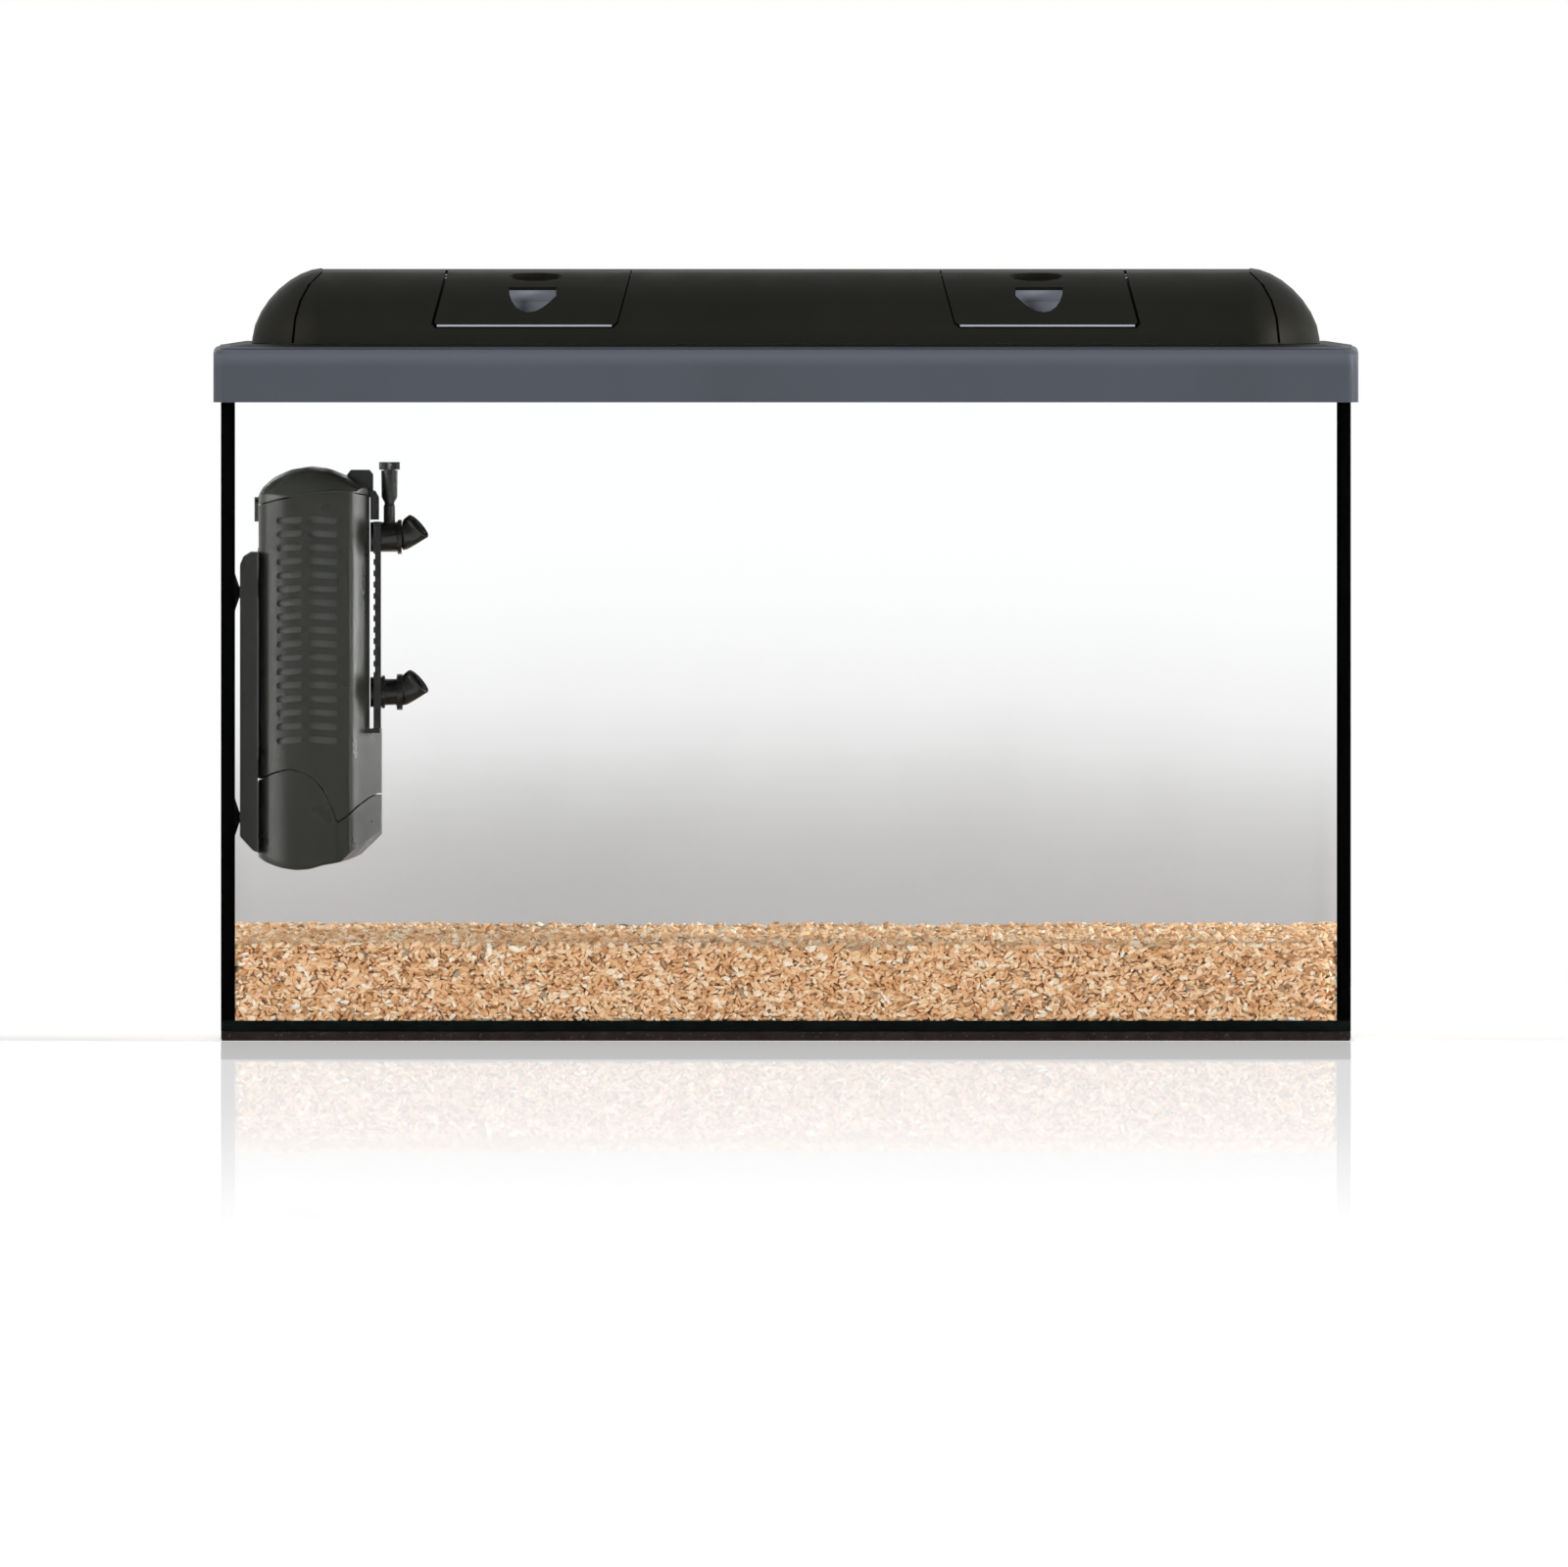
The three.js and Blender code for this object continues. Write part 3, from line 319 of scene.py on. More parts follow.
def gravel_stone():
    """Aquarium gravel: each grain has its own tone, with rusty veins and a chipped surface."""
    tree = Tree("gravel_stone")
    tone = tree.node("ShaderNodeAttribute", attribute_name="grain_tone").outputs["Fac"]
    stops = [
        (0.00, (0.16, 0.10, 0.07)),
        (0.06, (0.42, 0.33, 0.24)),
        (0.13, (0.48, 0.24, 0.10)),
        (0.25, (0.70, 0.38, 0.17)),
        (0.42, (0.82, 0.49, 0.25)),
        (0.60, (0.90, 0.59, 0.34)),
        (0.76, (0.95, 0.70, 0.45)),
        (0.90, (0.98, 0.85, 0.66)),
        (1.00, (0.99, 0.94, 0.84)),
    ]
    body = tree.ramp(tone, stops)
    vein = tree.noise(420.0, 5.0, 0.65)
    body = tree.mixed(tree.range(vein, 0.0, 0.4, 0.52, 0.75), body, (0.58, 0.29, 0.12))
    speck = tree.noise(1500.0, 3.0, 0.6)
    body = tree.mixed(tree.range(speck, 0.0, 0.45, 0.64, 0.75), body, (0.2, 0.13, 0.09))
    chips = tree.noise(700.0, 6.0, 0.7)
    inputs = {
        "Base Color": body,
        "Roughness": tree.range(chips, 0.5, 0.85, 0.3, 0.7),
        "Normal": tree.bump(chips, 0.00025, 0.9),
    }
    return tree.plain(inputs)


def packed_gravel():
    tree = Tree("packed_gravel")
    mottle = tree.noise(260.0, 5.0, 0.7)
    stops = [(0.3, (0.2, 0.11, 0.06)), (0.5, (0.42, 0.25, 0.14)), (0.7, (0.65, 0.42, 0.25))]
    body, normal = tree.ramp(mottle, stops), tree.bump(mottle, 0.001)
    return tree.plain({"Base Color": body, "Roughness": 0.9, "Normal": normal})


def flecked_foam():
    """The mat: dark closed-cell foam with fine pores and scattered pale flecks."""
    tree = Tree("flecked_foam")
    cloud = tree.noise(120.0, 4.0)
    deep, light = (0.0075, 0.0045, 0.0042), (0.019, 0.011, 0.0105)
    body = tree.mixed(tree.range(cloud, 0, 1, 0.3, 0.7), deep, light)
    cells = tree.node("ShaderNodeTexVoronoi", {"Vector": tree.place, "Scale": 420.0})
    fleck = tree.range(cells.outputs["Distance"], 0.35, 0.0, 0.05, 0.2)
    pores = tree.noise(900.0, 4.0, 0.7)
    inputs = {
        "Base Color": tree.mixed(fleck, body, (0.22, 0.18, 0.17)),
        "Roughness": tree.range(pores, 0.8, 1.0, 0.3, 0.7),
        "Specular IOR Level": 0.15,
        "Normal": tree.bump(pores, 0.0003),
    }
    return tree.plain(inputs)


def open_sponge():
    tree = Tree("open_sponge")
    cells = tree.node("ShaderNodeTexVoronoi", {"Vector": tree.place, "Scale": 900.0})
    hole = cells.outputs["Distance"]
    body = tree.mixed(tree.range(hole, 0, 1, 0.1, 0.5), (0.05, 0.055, 0.045), (0.16, 0.17, 0.145))
    return tree.plain({"Base Color": body, "Roughness": 0.95, "Normal": tree.bump(hole, 0.0006)})


def metal(name, colour, roughness, brush):
    tree = Tree(name)
    lines = tree.noise(260.0, 3.0, 0.6, place=tree.stretched(brush))
    inputs = {
        "Base Color": tree.mixed(lines, grey(0.85, colour), colour),
        "Metallic": 1.0,
        "Roughness": tree.range(lines, roughness - 0.08, roughness + 0.1, 0.3, 0.7),
        "Normal": tree.bump(lines, 0.00002),
    }
    return tree.plain(inputs)


def smooth_white(name, colour, roughness):
    tree = Tree(name)
    cloud = tree.noise(45.0, 3.0)
    inputs = {
        "Base Color": tree.mixed(cloud, grey(0.94, colour), colour),
        "Roughness": tree.range(cloud, roughness - 0.06, roughness + 0.08, 0.3, 0.7),
        "Normal": tree.bump(tree.noise(600.0), 0.00001),
    }
    return tree.plain(inputs)


def white_floor():
    """A pale floor with a polished strip in front of the tank. The polish fades with distance."""
    tree = Tree("white_floor")
    place = tree.range(tree.along("Y"), 0, 1, POLISH_FAR, POLISH_NEAR)
    polish = tree.ramp(place, greys(POLISH_LEVELS))
    slant = tree.node("ShaderNodeFresnel", {"IOR": 1.45}).outputs["Fac"]
    matt = tree.node("ShaderNodeBsdfDiffuse", {"Color": grey(0.93)}).outputs["BSDF"]
    glow = tree.node("ShaderNodeEmission", {"Color": (1, 1, 1), "Strength": 0.30})
    bright = tree.node("ShaderNodeAddShader", {0: matt, 1: glow.outputs["Emission"]})
    mirror = tree.node("ShaderNodeBsdfGlossy", {"Color": (1, 1, 1), "Roughness": 0.0})
    share = tree.maths("MULTIPLY", polish, slant)
    return tree.surface(tree.blended(share, bright.outputs["Shader"], mirror.outputs["BSDF"]))


# ---------------------------------------------------------------- mesh helpers

SHARP_EDGE = 32  # degrees: a CAD edge sharper than this stays crisp
WELD_REACH = 0.000002  # metres: CAD points nearer than this are one point
FACE_WEIGHT = 90  # how much a large face pulls the shading towards itself


def shown(name, data, material, body, nodes, smooth=True):
    """A new piece that rides on a body in place of CAD nodes."""
    data.name = name
    data.polygons.foreach_set("use_smooth", [smooth] * len(data.polygons))
    data.materials.append(material)
    piece = bpy.data.objects.new(name, data)
    bpy.context.scene.collection.objects.link(piece)
    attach(piece, body)
    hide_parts(*nodes)
    return piece


def mesh_of(points, faces):
    data = bpy.data.meshes.new("mesh")
    data.from_pydata([tuple(p) for p in points], [], faces)
    return data


def dress(names, material):
    """Gives kept CAD nodes a material, and smooth shading except across their sharp edges."""
    for name in names:
        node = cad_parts[name]
        node.data.materials.clear()
        node.data.materials.append(material)
        if "custom_normal" in node.data.attributes:
            node.data.attributes.remove(node.data.attributes["custom_normal"])
        node.data.polygons.foreach_set("use_smooth", [True] * len(node.data.polygons))
        weld = node.modifiers.new("weld", "WELD")
        weld.merge_threshold = WELD_REACH
        edges = node.modifiers.new("edges", "EDGE_SPLIT")
        edges.split_angle = math.radians(SHARP_EDGE)
        normals = node.modifiers.new("normals", "WEIGHTED_NORMAL")
        normals.mode = "FACE_AREA"
        normals.weight = FACE_WEIGHT


def grid_faces(rows, columns, closed):
    """Quads between rows of points. A closed grid joins each row's end to its start."""
    faces = []
    for row in range(rows - 1):
        for column in range(columns if closed else columns - 1):
            after = (column + 1) % columns
            low, high = row * columns, (row + 1) * columns
            faces.append((low + column, low + after, high + after, high + column))
    return faces


def capped(faces, rows, columns):
    """A closed grid's faces, with one more over its first row and one over its last."""
    last = (rows - 1) * columns
    return [*faces, tuple(reversed(range(columns))), tuple(range(last, last + columns))]


def soften(piece, width, angle=35):
    """Rounds a piece's edges by a width."""
    bevel = piece.modifiers.new("edges", "BEVEL")
    bevel.width = width
    bevel.segments = 2
    bevel.limit_method = "ANGLE"
    bevel.angle_limit = math.radians(angle)
    bevel.harden_normals = True


# ---------------------------------------------------------------- gravel

# Spacing of the grains against each pane and on top, in millimetres.
FRONT_PITCH = 2.75
SIDE_PITCH = 4.2
REAR_PITCH = 4.4
TOP_PITCH = 4
BED_EDGE = 2 * MM  # how far grains' middles keep from the bed's sides
BED_CEILING = 64 * MM  # above every grain
BED_FRONT_TOP = 52.5 * MM
BED_SAG = 1.8 * MM
BED_WAVE = 0.5 * MM
CORE_INSET = 3.2 * MM


def stone_shapes(count, subdivisions):
    """Unit grains: uneven balls, chipped flat from several sides and squashed into flakes."""
    ball = bmesh.new()
    bmesh.ops.create_icosphere(ball, subdivisions=subdivisions, radius=1.0)
    points = np.array([v.co for v in ball.verts])
    faces = np.array([[v.index for v in f.verts] for f in ball.faces])
    ball.free()
    shapes = []
    for _ in range(count):
        shape = points * (1 + 0.16 * rng.standard_normal((len(points), 1)) / subdivisions)
        for _ in range(6):
            side = rng.standard_normal(3)
            side /= np.linalg.norm(side)
            over = np.maximum(shape @ side - rng.uniform(0.5, 0.85), 0)
            shape = shape - over[:, None] * side
        shapes.append(shape * (1.6, rng.uniform(0.65, 0.95), rng.uniform(0.4, 0.62)))
    return np.array(shapes), faces


def spun(angles, axis):
    """Rotations about X (axis 0), Y (1) or Z (2), one 3 by 3 matrix each."""
    made = np.zeros((len(angles), 3, 3))
    first, second = (axis + 1) % 3, (axis + 2) % 3
    made[:, axis, axis] = 1
    made[:, first, first] = made[:, second, second] = np.cos(angles)
    made[:, second, first] = np.sin(angles)
    made[:, first, second] = -np.sin(angles)
    return made


def turns(count):
    """Rotations of settled grains: rolled freely, swung in plan off the tank's length, and tipped."""
    rolled = spun(rng.uniform(0, 2 * math.pi, count), 0)
    tipped = spun(rng.normal(0, 0.5, count), 1)
    turned = spun(rng.normal(0, 0.8, count), 2)
    return turned @ tipped @ rolled


def scattered(span_a, span_b, pitch):
    """Places on a staggered grid over two spans, each pushed off its point a little."""
    a = np.arange(span_a[0], span_a[1], pitch)
    b = np.arange(span_b[0], span_b[1], pitch * 0.87)
    grid_a, grid_b = np.meshgrid(a, b, indexing="ij")
    grid_a = grid_a + pitch / 2 * (np.arange(len(b)) % 2)
    spread = pitch * 0.34
    grid_a = grid_a + rng.uniform(-spread, spread, grid_a.shape)
    grid_b = grid_b + rng.uniform(-spread, spread, grid_b.shape)
    return grid_a.ravel(), grid_b.ravel()


def stones(centres, radii, shapes, faces):
    """Every grain's points and faces in two arrays, with one tone per point."""
    pick = rng.integers(0, len(shapes), len(centres))
    turned = np.einsum("nij,nkj->nki", turns(len(centres)), shapes[pick])
    points = centres[:, None, :] + turned * radii[:, None, None]
    count = shapes.shape[1]
    index = faces[None] + (np.arange(len(centres)) * count)[:, None, None]
    tones = np.repeat(rng.beta(2.0, 1.6, len(centres)), count)
    return points.reshape(-1, 3), index.reshape(-1, 3), tones


def gravel_piece(name, batches, material):
    """One piece from several lots of grains, kept inside the bed's box."""
    points, faces, tones = zip(*batches)
    starts = np.cumsum([0, *(len(batch) for batch in points)])
    faces = [batch + start for batch, start in zip(faces, starts)]
    low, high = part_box("gravel_bed")
    margin = 0.1 * MM
    highest = np.array(high) - (margin, margin, 0)
    inside = np.clip(np.concatenate(points), np.array(low) + margin, highest)
    data = mesh_of(inside.tolist(), np.concatenate(faces).tolist())
    data.attributes.new("grain_tone", "FLOAT", "POINT")
    data.attributes["grain_tone"].data.foreach_set("value", np.concatenate(tones))
    return shown(name, data, material, "tank", ["gravel_bed"], smooth=False)


def gravel_top(x, y):
    """Height of the gravel: it rises towards the rear pane and sags a little in the middle."""
    low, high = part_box("gravel_bed")
    along = (y - low.y) / (high.y - low.y)
    sag = BED_SAG * np.cos(math.pi * x / (high.x - low.x))
    wave = BED_WAVE * (np.sin(37.0 * x + 60.0 * y) + np.sin(91.0 * x))
    return BED_FRONT_TOP + (high.z - BED_FRONT_TOP) * along**1.2 - sag + wave


def make_gravel():
    low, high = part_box("gravel_bed")
    shapes, faces = stone_shapes(24, 1)
    material = gravel_stone()

    def against_glass(axis, glass, inwards, pitch, depth):
        """Grains pressed on a pane that is square to X (axis 0) or Y (axis 1)."""
        start, end = (low.x, high.x) if axis == 1 else (low.y, high.y)
        span = (start + BED_EDGE, end - BED_EDGE)
        along, height = scattered(span, (low.z + 1.5 * MM, BED_CEILING), pitch)
        size = pitch * 0.78 * rng.uniform(0.6, 1.4, len(along))
        centres = np.zeros((len(along), 3))
        centres[:, 1 - axis] = along
        centres[:, axis] = glass + inwards * (size * 0.75 + depth)
        centres[:, 2] = height
        kept = height < gravel_top(centres[:, 0], centres[:, 1]) - 1 * MM
        return stones(centres[kept], size[kept], shapes, faces)

    front = [against_glass(1, low.y, 1, FRONT_PITCH * MM, depth * MM) for depth in (0.0, 1.5)]
    others = [
        against_glass(0, low.x, 1, SIDE_PITCH * MM, 0.0),
        against_glass(0, high.x, -1, SIDE_PITCH * MM, 0.0),
        against_glass(1, high.y, -1, REAR_PITCH * MM, 0.0),
    ]
    gravel_piece("gravel_front", front, material)
    gravel_piece("gravel_sides", others, material)
    across = (low.x + BED_EDGE, high.x - BED_EDGE)
    x, y = scattered(across, (low.y + BED_EDGE, high.y - BED_EDGE), TOP_PITCH * MM)
    z = gravel_top(x, y) + rng.uniform(-2.6 * MM, -1.0 * MM, len(x))
    size = 2.7 * MM * rng.uniform(0.7, 1.25, len(x))
    for name, part in (("gravel_top_left", x < 0), ("gravel_top_right", x >= 0)):
        centres = np.stack([x[part], y[part], z[part]], axis=1)
        gravel_piece(name, [stones(centres, size[part], shapes, faces)], material)
    make_gravel_core(low, high)


def make_gravel_core(low, high):
    """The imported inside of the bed, just under the grains, so that no gap shows through."""
    xs = np.linspace(low.x + CORE_INSET, high.x - CORE_INSET, 60)
    ys = np.linspace(low.y + CORE_INSET, high.y - CORE_INSET, 30)
    points = [(x, y, gravel_top(x, y) - CORE_INSET) for y in ys for x in xs]
    faces = grid_faces(len(ys), len(xs), closed=False)
    start = len(points)
    grid = np.arange(start).reshape(len(ys), len(xs))
    rim = np.concatenate([grid[0], grid[1:, -1], grid[-1, -2::-1], grid[-2:0:-1, 0]]).tolist()
    points += [(points[i][0], points[i][1], low.z + 1 * MM) for i in rim]
    for k, corner in enumerate(rim):
        after = (k + 1) % len(rim)
        faces.append((corner, start + k, start + after, rim[after]))
    faces.append(tuple(start + k for k in reversed(range(len(rim)))))
    data = mesh_of(points, faces)
    shown("gravel_core", data, packed_gravel(), "tank", ["gravel_bed"], smooth=False)


# ---------------------------------------------------------------- foam mat

# The mat's edge from bottom to top: share of the thickness, inset and ragged drop in millimetres.
MAT_EDGE = [(0.0, 0.4, 0), (0.25, 0.05, 0), (0.75, 0.05, 0), (0.94, 0.25, 0), (0.99, 0.8, 0.3)]


def make_mat():
    """A foam sheet with softly rounded, slightly ragged edges."""
    low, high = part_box("foam_mat")
    columns = np.linspace(low.x, high.x, 301)
    rows = np.linspace(low.y, high.y, 151)
    outline = [(x, low.y) for x in columns[:-1]]
    outline += [(high.x, y) for y in rows[:-1]]
    outline += [(x, high.y) for x in columns[:0:-1]]
    outline += [(low.x, y) for y in rows[:0:-1]]
    outline = np.array(outline)
    middle = outline.mean(axis=0)
    on_side = np.abs(np.abs(outline) - (high.x, high.y)) < 1e-6
    inwards = np.sign(middle - outline) * on_side
    ragged = rng.uniform(0, 1, len(outline))
    points = []
    for share, drawn_in, drop in MAT_EDGE:
        wobble = (drawn_in + 0.35 * rng.uniform(0, 1, len(outline)))[:, None] * MM
        ring = outline + inwards * wobble
        heights = low.z + share * (high.z - low.z) - drop * MM * ragged
        points += [(x, y, z) for (x, y), z in zip(ring, heights)]
    faces = capped(grid_faces(len(MAT_EDGE), len(outline), closed=True), len(MAT_EDGE), len(outline))
    data = mesh_of(points, faces)
    mat = shown("mat", data, flecked_foam(), "tank", ["foam_mat"], smooth=False)


# ---------------------------------------------------------------- filter housing

# Everything in this section is in millimetres from the filter's own origin.
FILTER_PLACE = (-250, 20, -1.5)  # that origin in the shared frame
WALL = 2.25
SEAM_GAP = 0.5
HALF_DEPTH = 35
LEFT, RIGHT = -30, 35.5
SHOULDER = 166  # the case is narrower above this height, beside the outlet rail
RAIL_SIDE = 29  # its right side there
EDGE_ROUND = 0.35

# Slots in the front: columns as (middle, width, rise of the right end), rows from the top down.
SLOT_COLUMNS = ((-13.8, 13.5, 0.35), (4.1, 15.2, -0.35))
SLOT_ROWS = 17
SLOT_TOP = 277.0
SLOT_PITCH = 7.3
SLOT_ROUND = 1.75

# The screen behind the slots: how far its two faces lie behind the wall, and its foot and top.
SCREEN_FACES = (0.1, 0.45)
SCREEN_HEIGHTS = (147.0, 283.0)

# Small blocks, each from its low to its high corner.
GUIDE_OUT = -30.35  # how far left the guide strips reach
CASE_BLOCKS = (
    ((-34.5, -8, 236), (LEFT + 1, 8, 246)),  # upper hook
    ((-34.5, -8, 140), (LEFT + 1, 8, 150)),  # lower hook
    ((GUIDE_OUT, -20, 142), (LEFT + 0.1, 20, 262)),  # guide strip
    ((RAIL_SIDE - WALL, -14, SHOULDER - WALL), (RIGHT - 1, HALF_DEPTH - 2, SHOULDER)),  # shelf
)
HEAD_BLOCKS = (((-32.2, -6, 276), (-30.05, 6, 288)), ((-32.2, -6, 286), (-28.5, 6, 289)))
CUP_GUIDE = ((GUIDE_OUT, -20, 100), (LEFT + 0.1, 20, 138))
CUP_GROOVE = ((11.6, -HALF_DEPTH - 1, 97), (12.2, 0.7 - HALF_DEPTH, 118))

# The flat chamfer under the cup's right side: a point on it and two directions in it.
CHAMFER_PLACE = (21.5, -31, 102.8)
CHAMFER_ALONG = (12, 36, 8)
CHAMFER_INWARDS = (-1, 0.33, -1)

HEAD_FOOT, HEAD_TOP = 284.0, 305.5
HEAD_RIM = 0.4  # the least height of the head's edge over its seam
HEAD_MIDDLE = (-1.0, 0.0)
HEAD_RINGS = (0.985, 0.96, 0.93, 0.89, 0.84, 0.78, 0.7, 0.6, 0.5, 0.38, 0.26, 0.13, 0.02)
CUP_MIDDLE = (2.0, 0.0)
CUP_RINGS = (0.02, 0.2, 0.4, 0.6, 0.75, 0.87, 0.95, 0.99)

# Heights of the seams, the cup's underside and the head's crown, from left to right.
CUP_SEAM = [
    (-40, 139), (-30, 139), (-22, 142.6), (-14, 144.7), (-6.6, 143), (-0.3, 139.5), (5, 132.7),
    (9, 124.4), (11.7, 116), (17.4, 120.2), (22.6, 124.9), (28.8, 129.6), (33, 131.4), (45, 131),
]  # fmt: skip
CUP_FLOOR = [
    (-40, 98), (-30, 98), (-26.5, 95.5), (-22, 93.6), (-17, 92.1), (-10, 91.1), (-3, 91.6), (4, 93.7),
    (10, 94.7), (19, 96.8), (25, 99.4), (32.5, 105.6), (45, 115),
]  # fmt: skip
HEAD_SEAM = [
    (-40, 285), (-30, 285), (-21, 287.8), (-13, 289.3), (-5, 290.4), (8, 291.6), (19, 292), (28, 290),
    (45, 288),
]  # fmt: skip
HEAD_CROWN = [
    (-31, 284), (-30, 290), (-28, 294), (-22, 299.5), (-13, 303.6), (-1.7, 305.5), (8, 304.2),
    (17, 300.5), (24, 296.5), (27.5, 293.8), (28.8, 290), (29, 284),
]  # fmt: skip
# Height of the head's crown from front to back.
HEAD_DEPTH = [
    (-36, 284), (-34, 291), (-28, 298), (-18, 303), (-4, 305.6), (12, 305), (24, 302), (32, 296),
    (36, 284),
]  # fmt: skip


def curve(points, blur=1.0):
    """A smooth height curve through (place, height) points."""
    places, heights = np.array(points).T
    reach = np.linspace(-blur, blur, 9)

    def height(at):
        at = np.atleast_1d(at)
        return np.interp(at[:, None] + reach, places, heights).mean(axis=1)

    return height


def bent(start, middle, end, count):
    """Points along a quadratic curve, without its last one."""
    t = np.linspace(0, 1, count, endpoint=False)[:, None]
    start, middle, end = np.array(start), np.array(middle), np.array(end)
    return (1 - t) ** 2 * start + 2 * t * (1 - t) * middle + t**2 * end


def straight(start, end, count):
    t = np.linspace(0, 1, count, endpoint=False)[:, None]
    return (1 - t) * np.array(start) + t * np.array(end)


def housing_outline():
    """The housing's plan, once round from the back left corner, by way of the front."""
    front, back = -HALF_DEPTH, HALF_DEPTH
    pieces = [
        straight((LEFT, back - 5), (LEFT, front + 14), 14),
        bent((LEFT, front + 14), (LEFT, front + 1), (LEFT + 26, front), 24),
        straight((LEFT + 26, front), (18, front), 16),
        bent((18, front), (20.17, front), (24.5, front + 13), 16),
        straight((24.5, front + 13), (RIGHT - 2, front + 40), 20),
        bent((RIGHT - 2, front + 40), (RIGHT, front + 45), (RIGHT, front + 50), 6),
        straight((RIGHT, front + 50), (RIGHT, back - 5), 8),
        bent((RIGHT, back - 5), (RIGHT, back), (RIGHT - 5, back), 6),
        straight((RIGHT - 5, back), (LEFT + 5, back), 20),
        bent((LEFT + 5, back), (LEFT, back), (LEFT, back - 5), 6),
    ]
    return np.concatenate(pieces)


def placed(points):
    """Filter coordinates in millimetres, to the shared frame in metres."""
    return (np.asarray(points) + FILTER_PLACE) * MM


def thick(piece):
    """Gives a skin its wall, inwards."""
    skin = piece.modifiers.new("wall", "SOLIDIFY")
    skin.thickness = WALL * MM
    skin.offset = -1
    skin.use_even_offset = True


def rows_between(outline, lower, upper, count):
    """Rows of points on an outline, from the lower heights to the upper ones."""
    shares = np.linspace(0, 1, count)
    return [np.column_stack([outline, lower + (upper - lower) * share]) for share in shares]


def slot_ring(centre, width, rise):
    """A slot's outline in X and Z about its middle height: a sloping bar with round ends."""
    half = SLOT_ROUND
    reach = width / 2 - half
    turn = np.linspace(-math.pi / 2, math.pi / 2, 7)
    right = [(centre + reach + half * math.cos(a), half * math.sin(a)) for a in turn]
    left = [(centre - reach - half * math.cos(a), -half * math.sin(a)) for a in turn]
    ring = right + [(centre, half)] + left + [(centre, -half)]
    return [(x, dz, rise * (x - centre) / reach) for x, dz in ring]


def slot_cutters():
    """Bars that cut every slot through the case's front wall."""
    whole = bmesh.new()
    for row in range(SLOT_ROWS):
        z = SLOT_TOP - row * SLOT_PITCH
        for column in SLOT_COLUMNS:
            ring = slot_ring(*column)
            front, back = (
                [whole.verts.new(placed((x, y, z + dz + slope))) for x, dz, slope in ring]
                for y in (-HALF_DEPTH - 3, -HALF_DEPTH + 6)
            )
            for i in range(len(ring)):
                after = (i + 1) % len(ring)
                whole.faces.new((front[i], front[after], back[after], back[i]))
            whole.faces.new(front[::-1])
            whole.faces.new(back)
    bmesh.ops.recalc_face_normals(whole, faces=whole.faces)
    data = bpy.data.meshes.new("slots")
    whole.to_mesh(data)
    whole.free()
    return data


def applied(piece):
    """Makes a piece's modifiers part of its mesh."""
    graph = bpy.context.evaluated_depsgraph_get()
    data = bpy.data.meshes.new_from_object(piece.evaluated_get(graph))
    old = piece.data
    piece.modifiers.clear()
    piece.data = data
    bpy.data.meshes.remove(old)


def cut(piece, data):
    """Takes a mesh's shape out of a piece."""
    cutter = bpy.data.objects.new("cutter", data)
    bpy.context.scene.collection.objects.link(cutter)
    boolean = piece.modifiers.new("cut", "BOOLEAN")
    boolean.object = cutter
    boolean.solver = "EXACT"
    applied(piece)
    bpy.data.objects.remove(cutter)


def blocks(*corners):
    """One mesh of boxes, each from its low and high corner in filter coordinates."""
    points, faces = [], []
    sides = [(0, 3, 2, 1), (4, 5, 6, 7), (0, 1, 5, 4), (1, 2, 6, 5), (2, 3, 7, 6), (3, 0, 4, 7)]
    for (left, front, bottom), (right, back, top) in corners:
        start = len(points)
        plan = [(left, front), (right, front), (right, back), (left, back)]
        points += [(x, y, z) for z in (bottom, top) for x, y in plan]
        faces += [tuple(start + i for i in side) for side in sides]
    return mesh_of(placed(points), faces)


def filter_piece(name, data, material, body, node, smooth=True):
    """A piece of the housing that stands for one CAD node."""
    return shown(name, data, material, body, [node], smooth)


def smoothed(piece):
    """Smooth shading and rounded edges after a cut."""
    piece.data.polygons.foreach_set("use_smooth", [True] * len(piece.data.polygons))
    soften(piece, EDGE_ROUND * MM)


def make_housing_case(material):
    outline = housing_outline()
    x = outline[:, 0]
    lower = curve(CUP_SEAM)(x) + SEAM_GAP
    upper = curve(HEAD_SEAM)(x) - SEAM_GAP
    level = np.full(len(x), float(SHOULDER))
    narrow = np.column_stack([np.minimum(x, RAIL_SIDE), outline[:, 1]])
    rows = rows_between(outline, lower, level, 8)
    rows += rows_between(narrow, level, upper, 24)
    points = placed(np.concatenate(rows))
    data = mesh_of(points, grid_faces(len(rows), len(outline), closed=True))
    case = filter_piece("housing_case", data, material, "filter", "filter_case")
    thick(case)
    cut(case, slot_cutters())
    smoothed(case)
    data = blocks(*CASE_BLOCKS)
    hooks = filter_piece("housing_hooks", data, material, "filter", "filter_case", smooth=False)
    soften(hooks, 0.5 * MM)


def make_strainer(material):
    """The screen just behind the slots, bent like the wall in front of it."""
    outline = housing_outline()
    ahead = np.roll(outline, -1, axis=0) - np.roll(outline, 1, axis=0)
    inwards = np.column_stack([-ahead[:, 1], ahead[:, 0]]) / np.linalg.norm(ahead, axis=1)[:, None]
    behind_slots = (outline[:, 1] < -24) & (outline[:, 0] > -27) & (outline[:, 0] < 14)
    near, far = ((outline + inwards * (WALL + gap))[behind_slots] for gap in SCREEN_FACES)
    ring = np.concatenate([near, far[::-1]])
    rows = [np.column_stack([ring, np.full(len(ring), z)]) for z in SCREEN_HEIGHTS]
    faces = grid_faces(2, len(ring), closed=True)
    data = mesh_of(placed(np.concatenate(rows)), faces)
    filter_piece("strainer_screen", data, material, "filter", "filter_case", smooth=False)


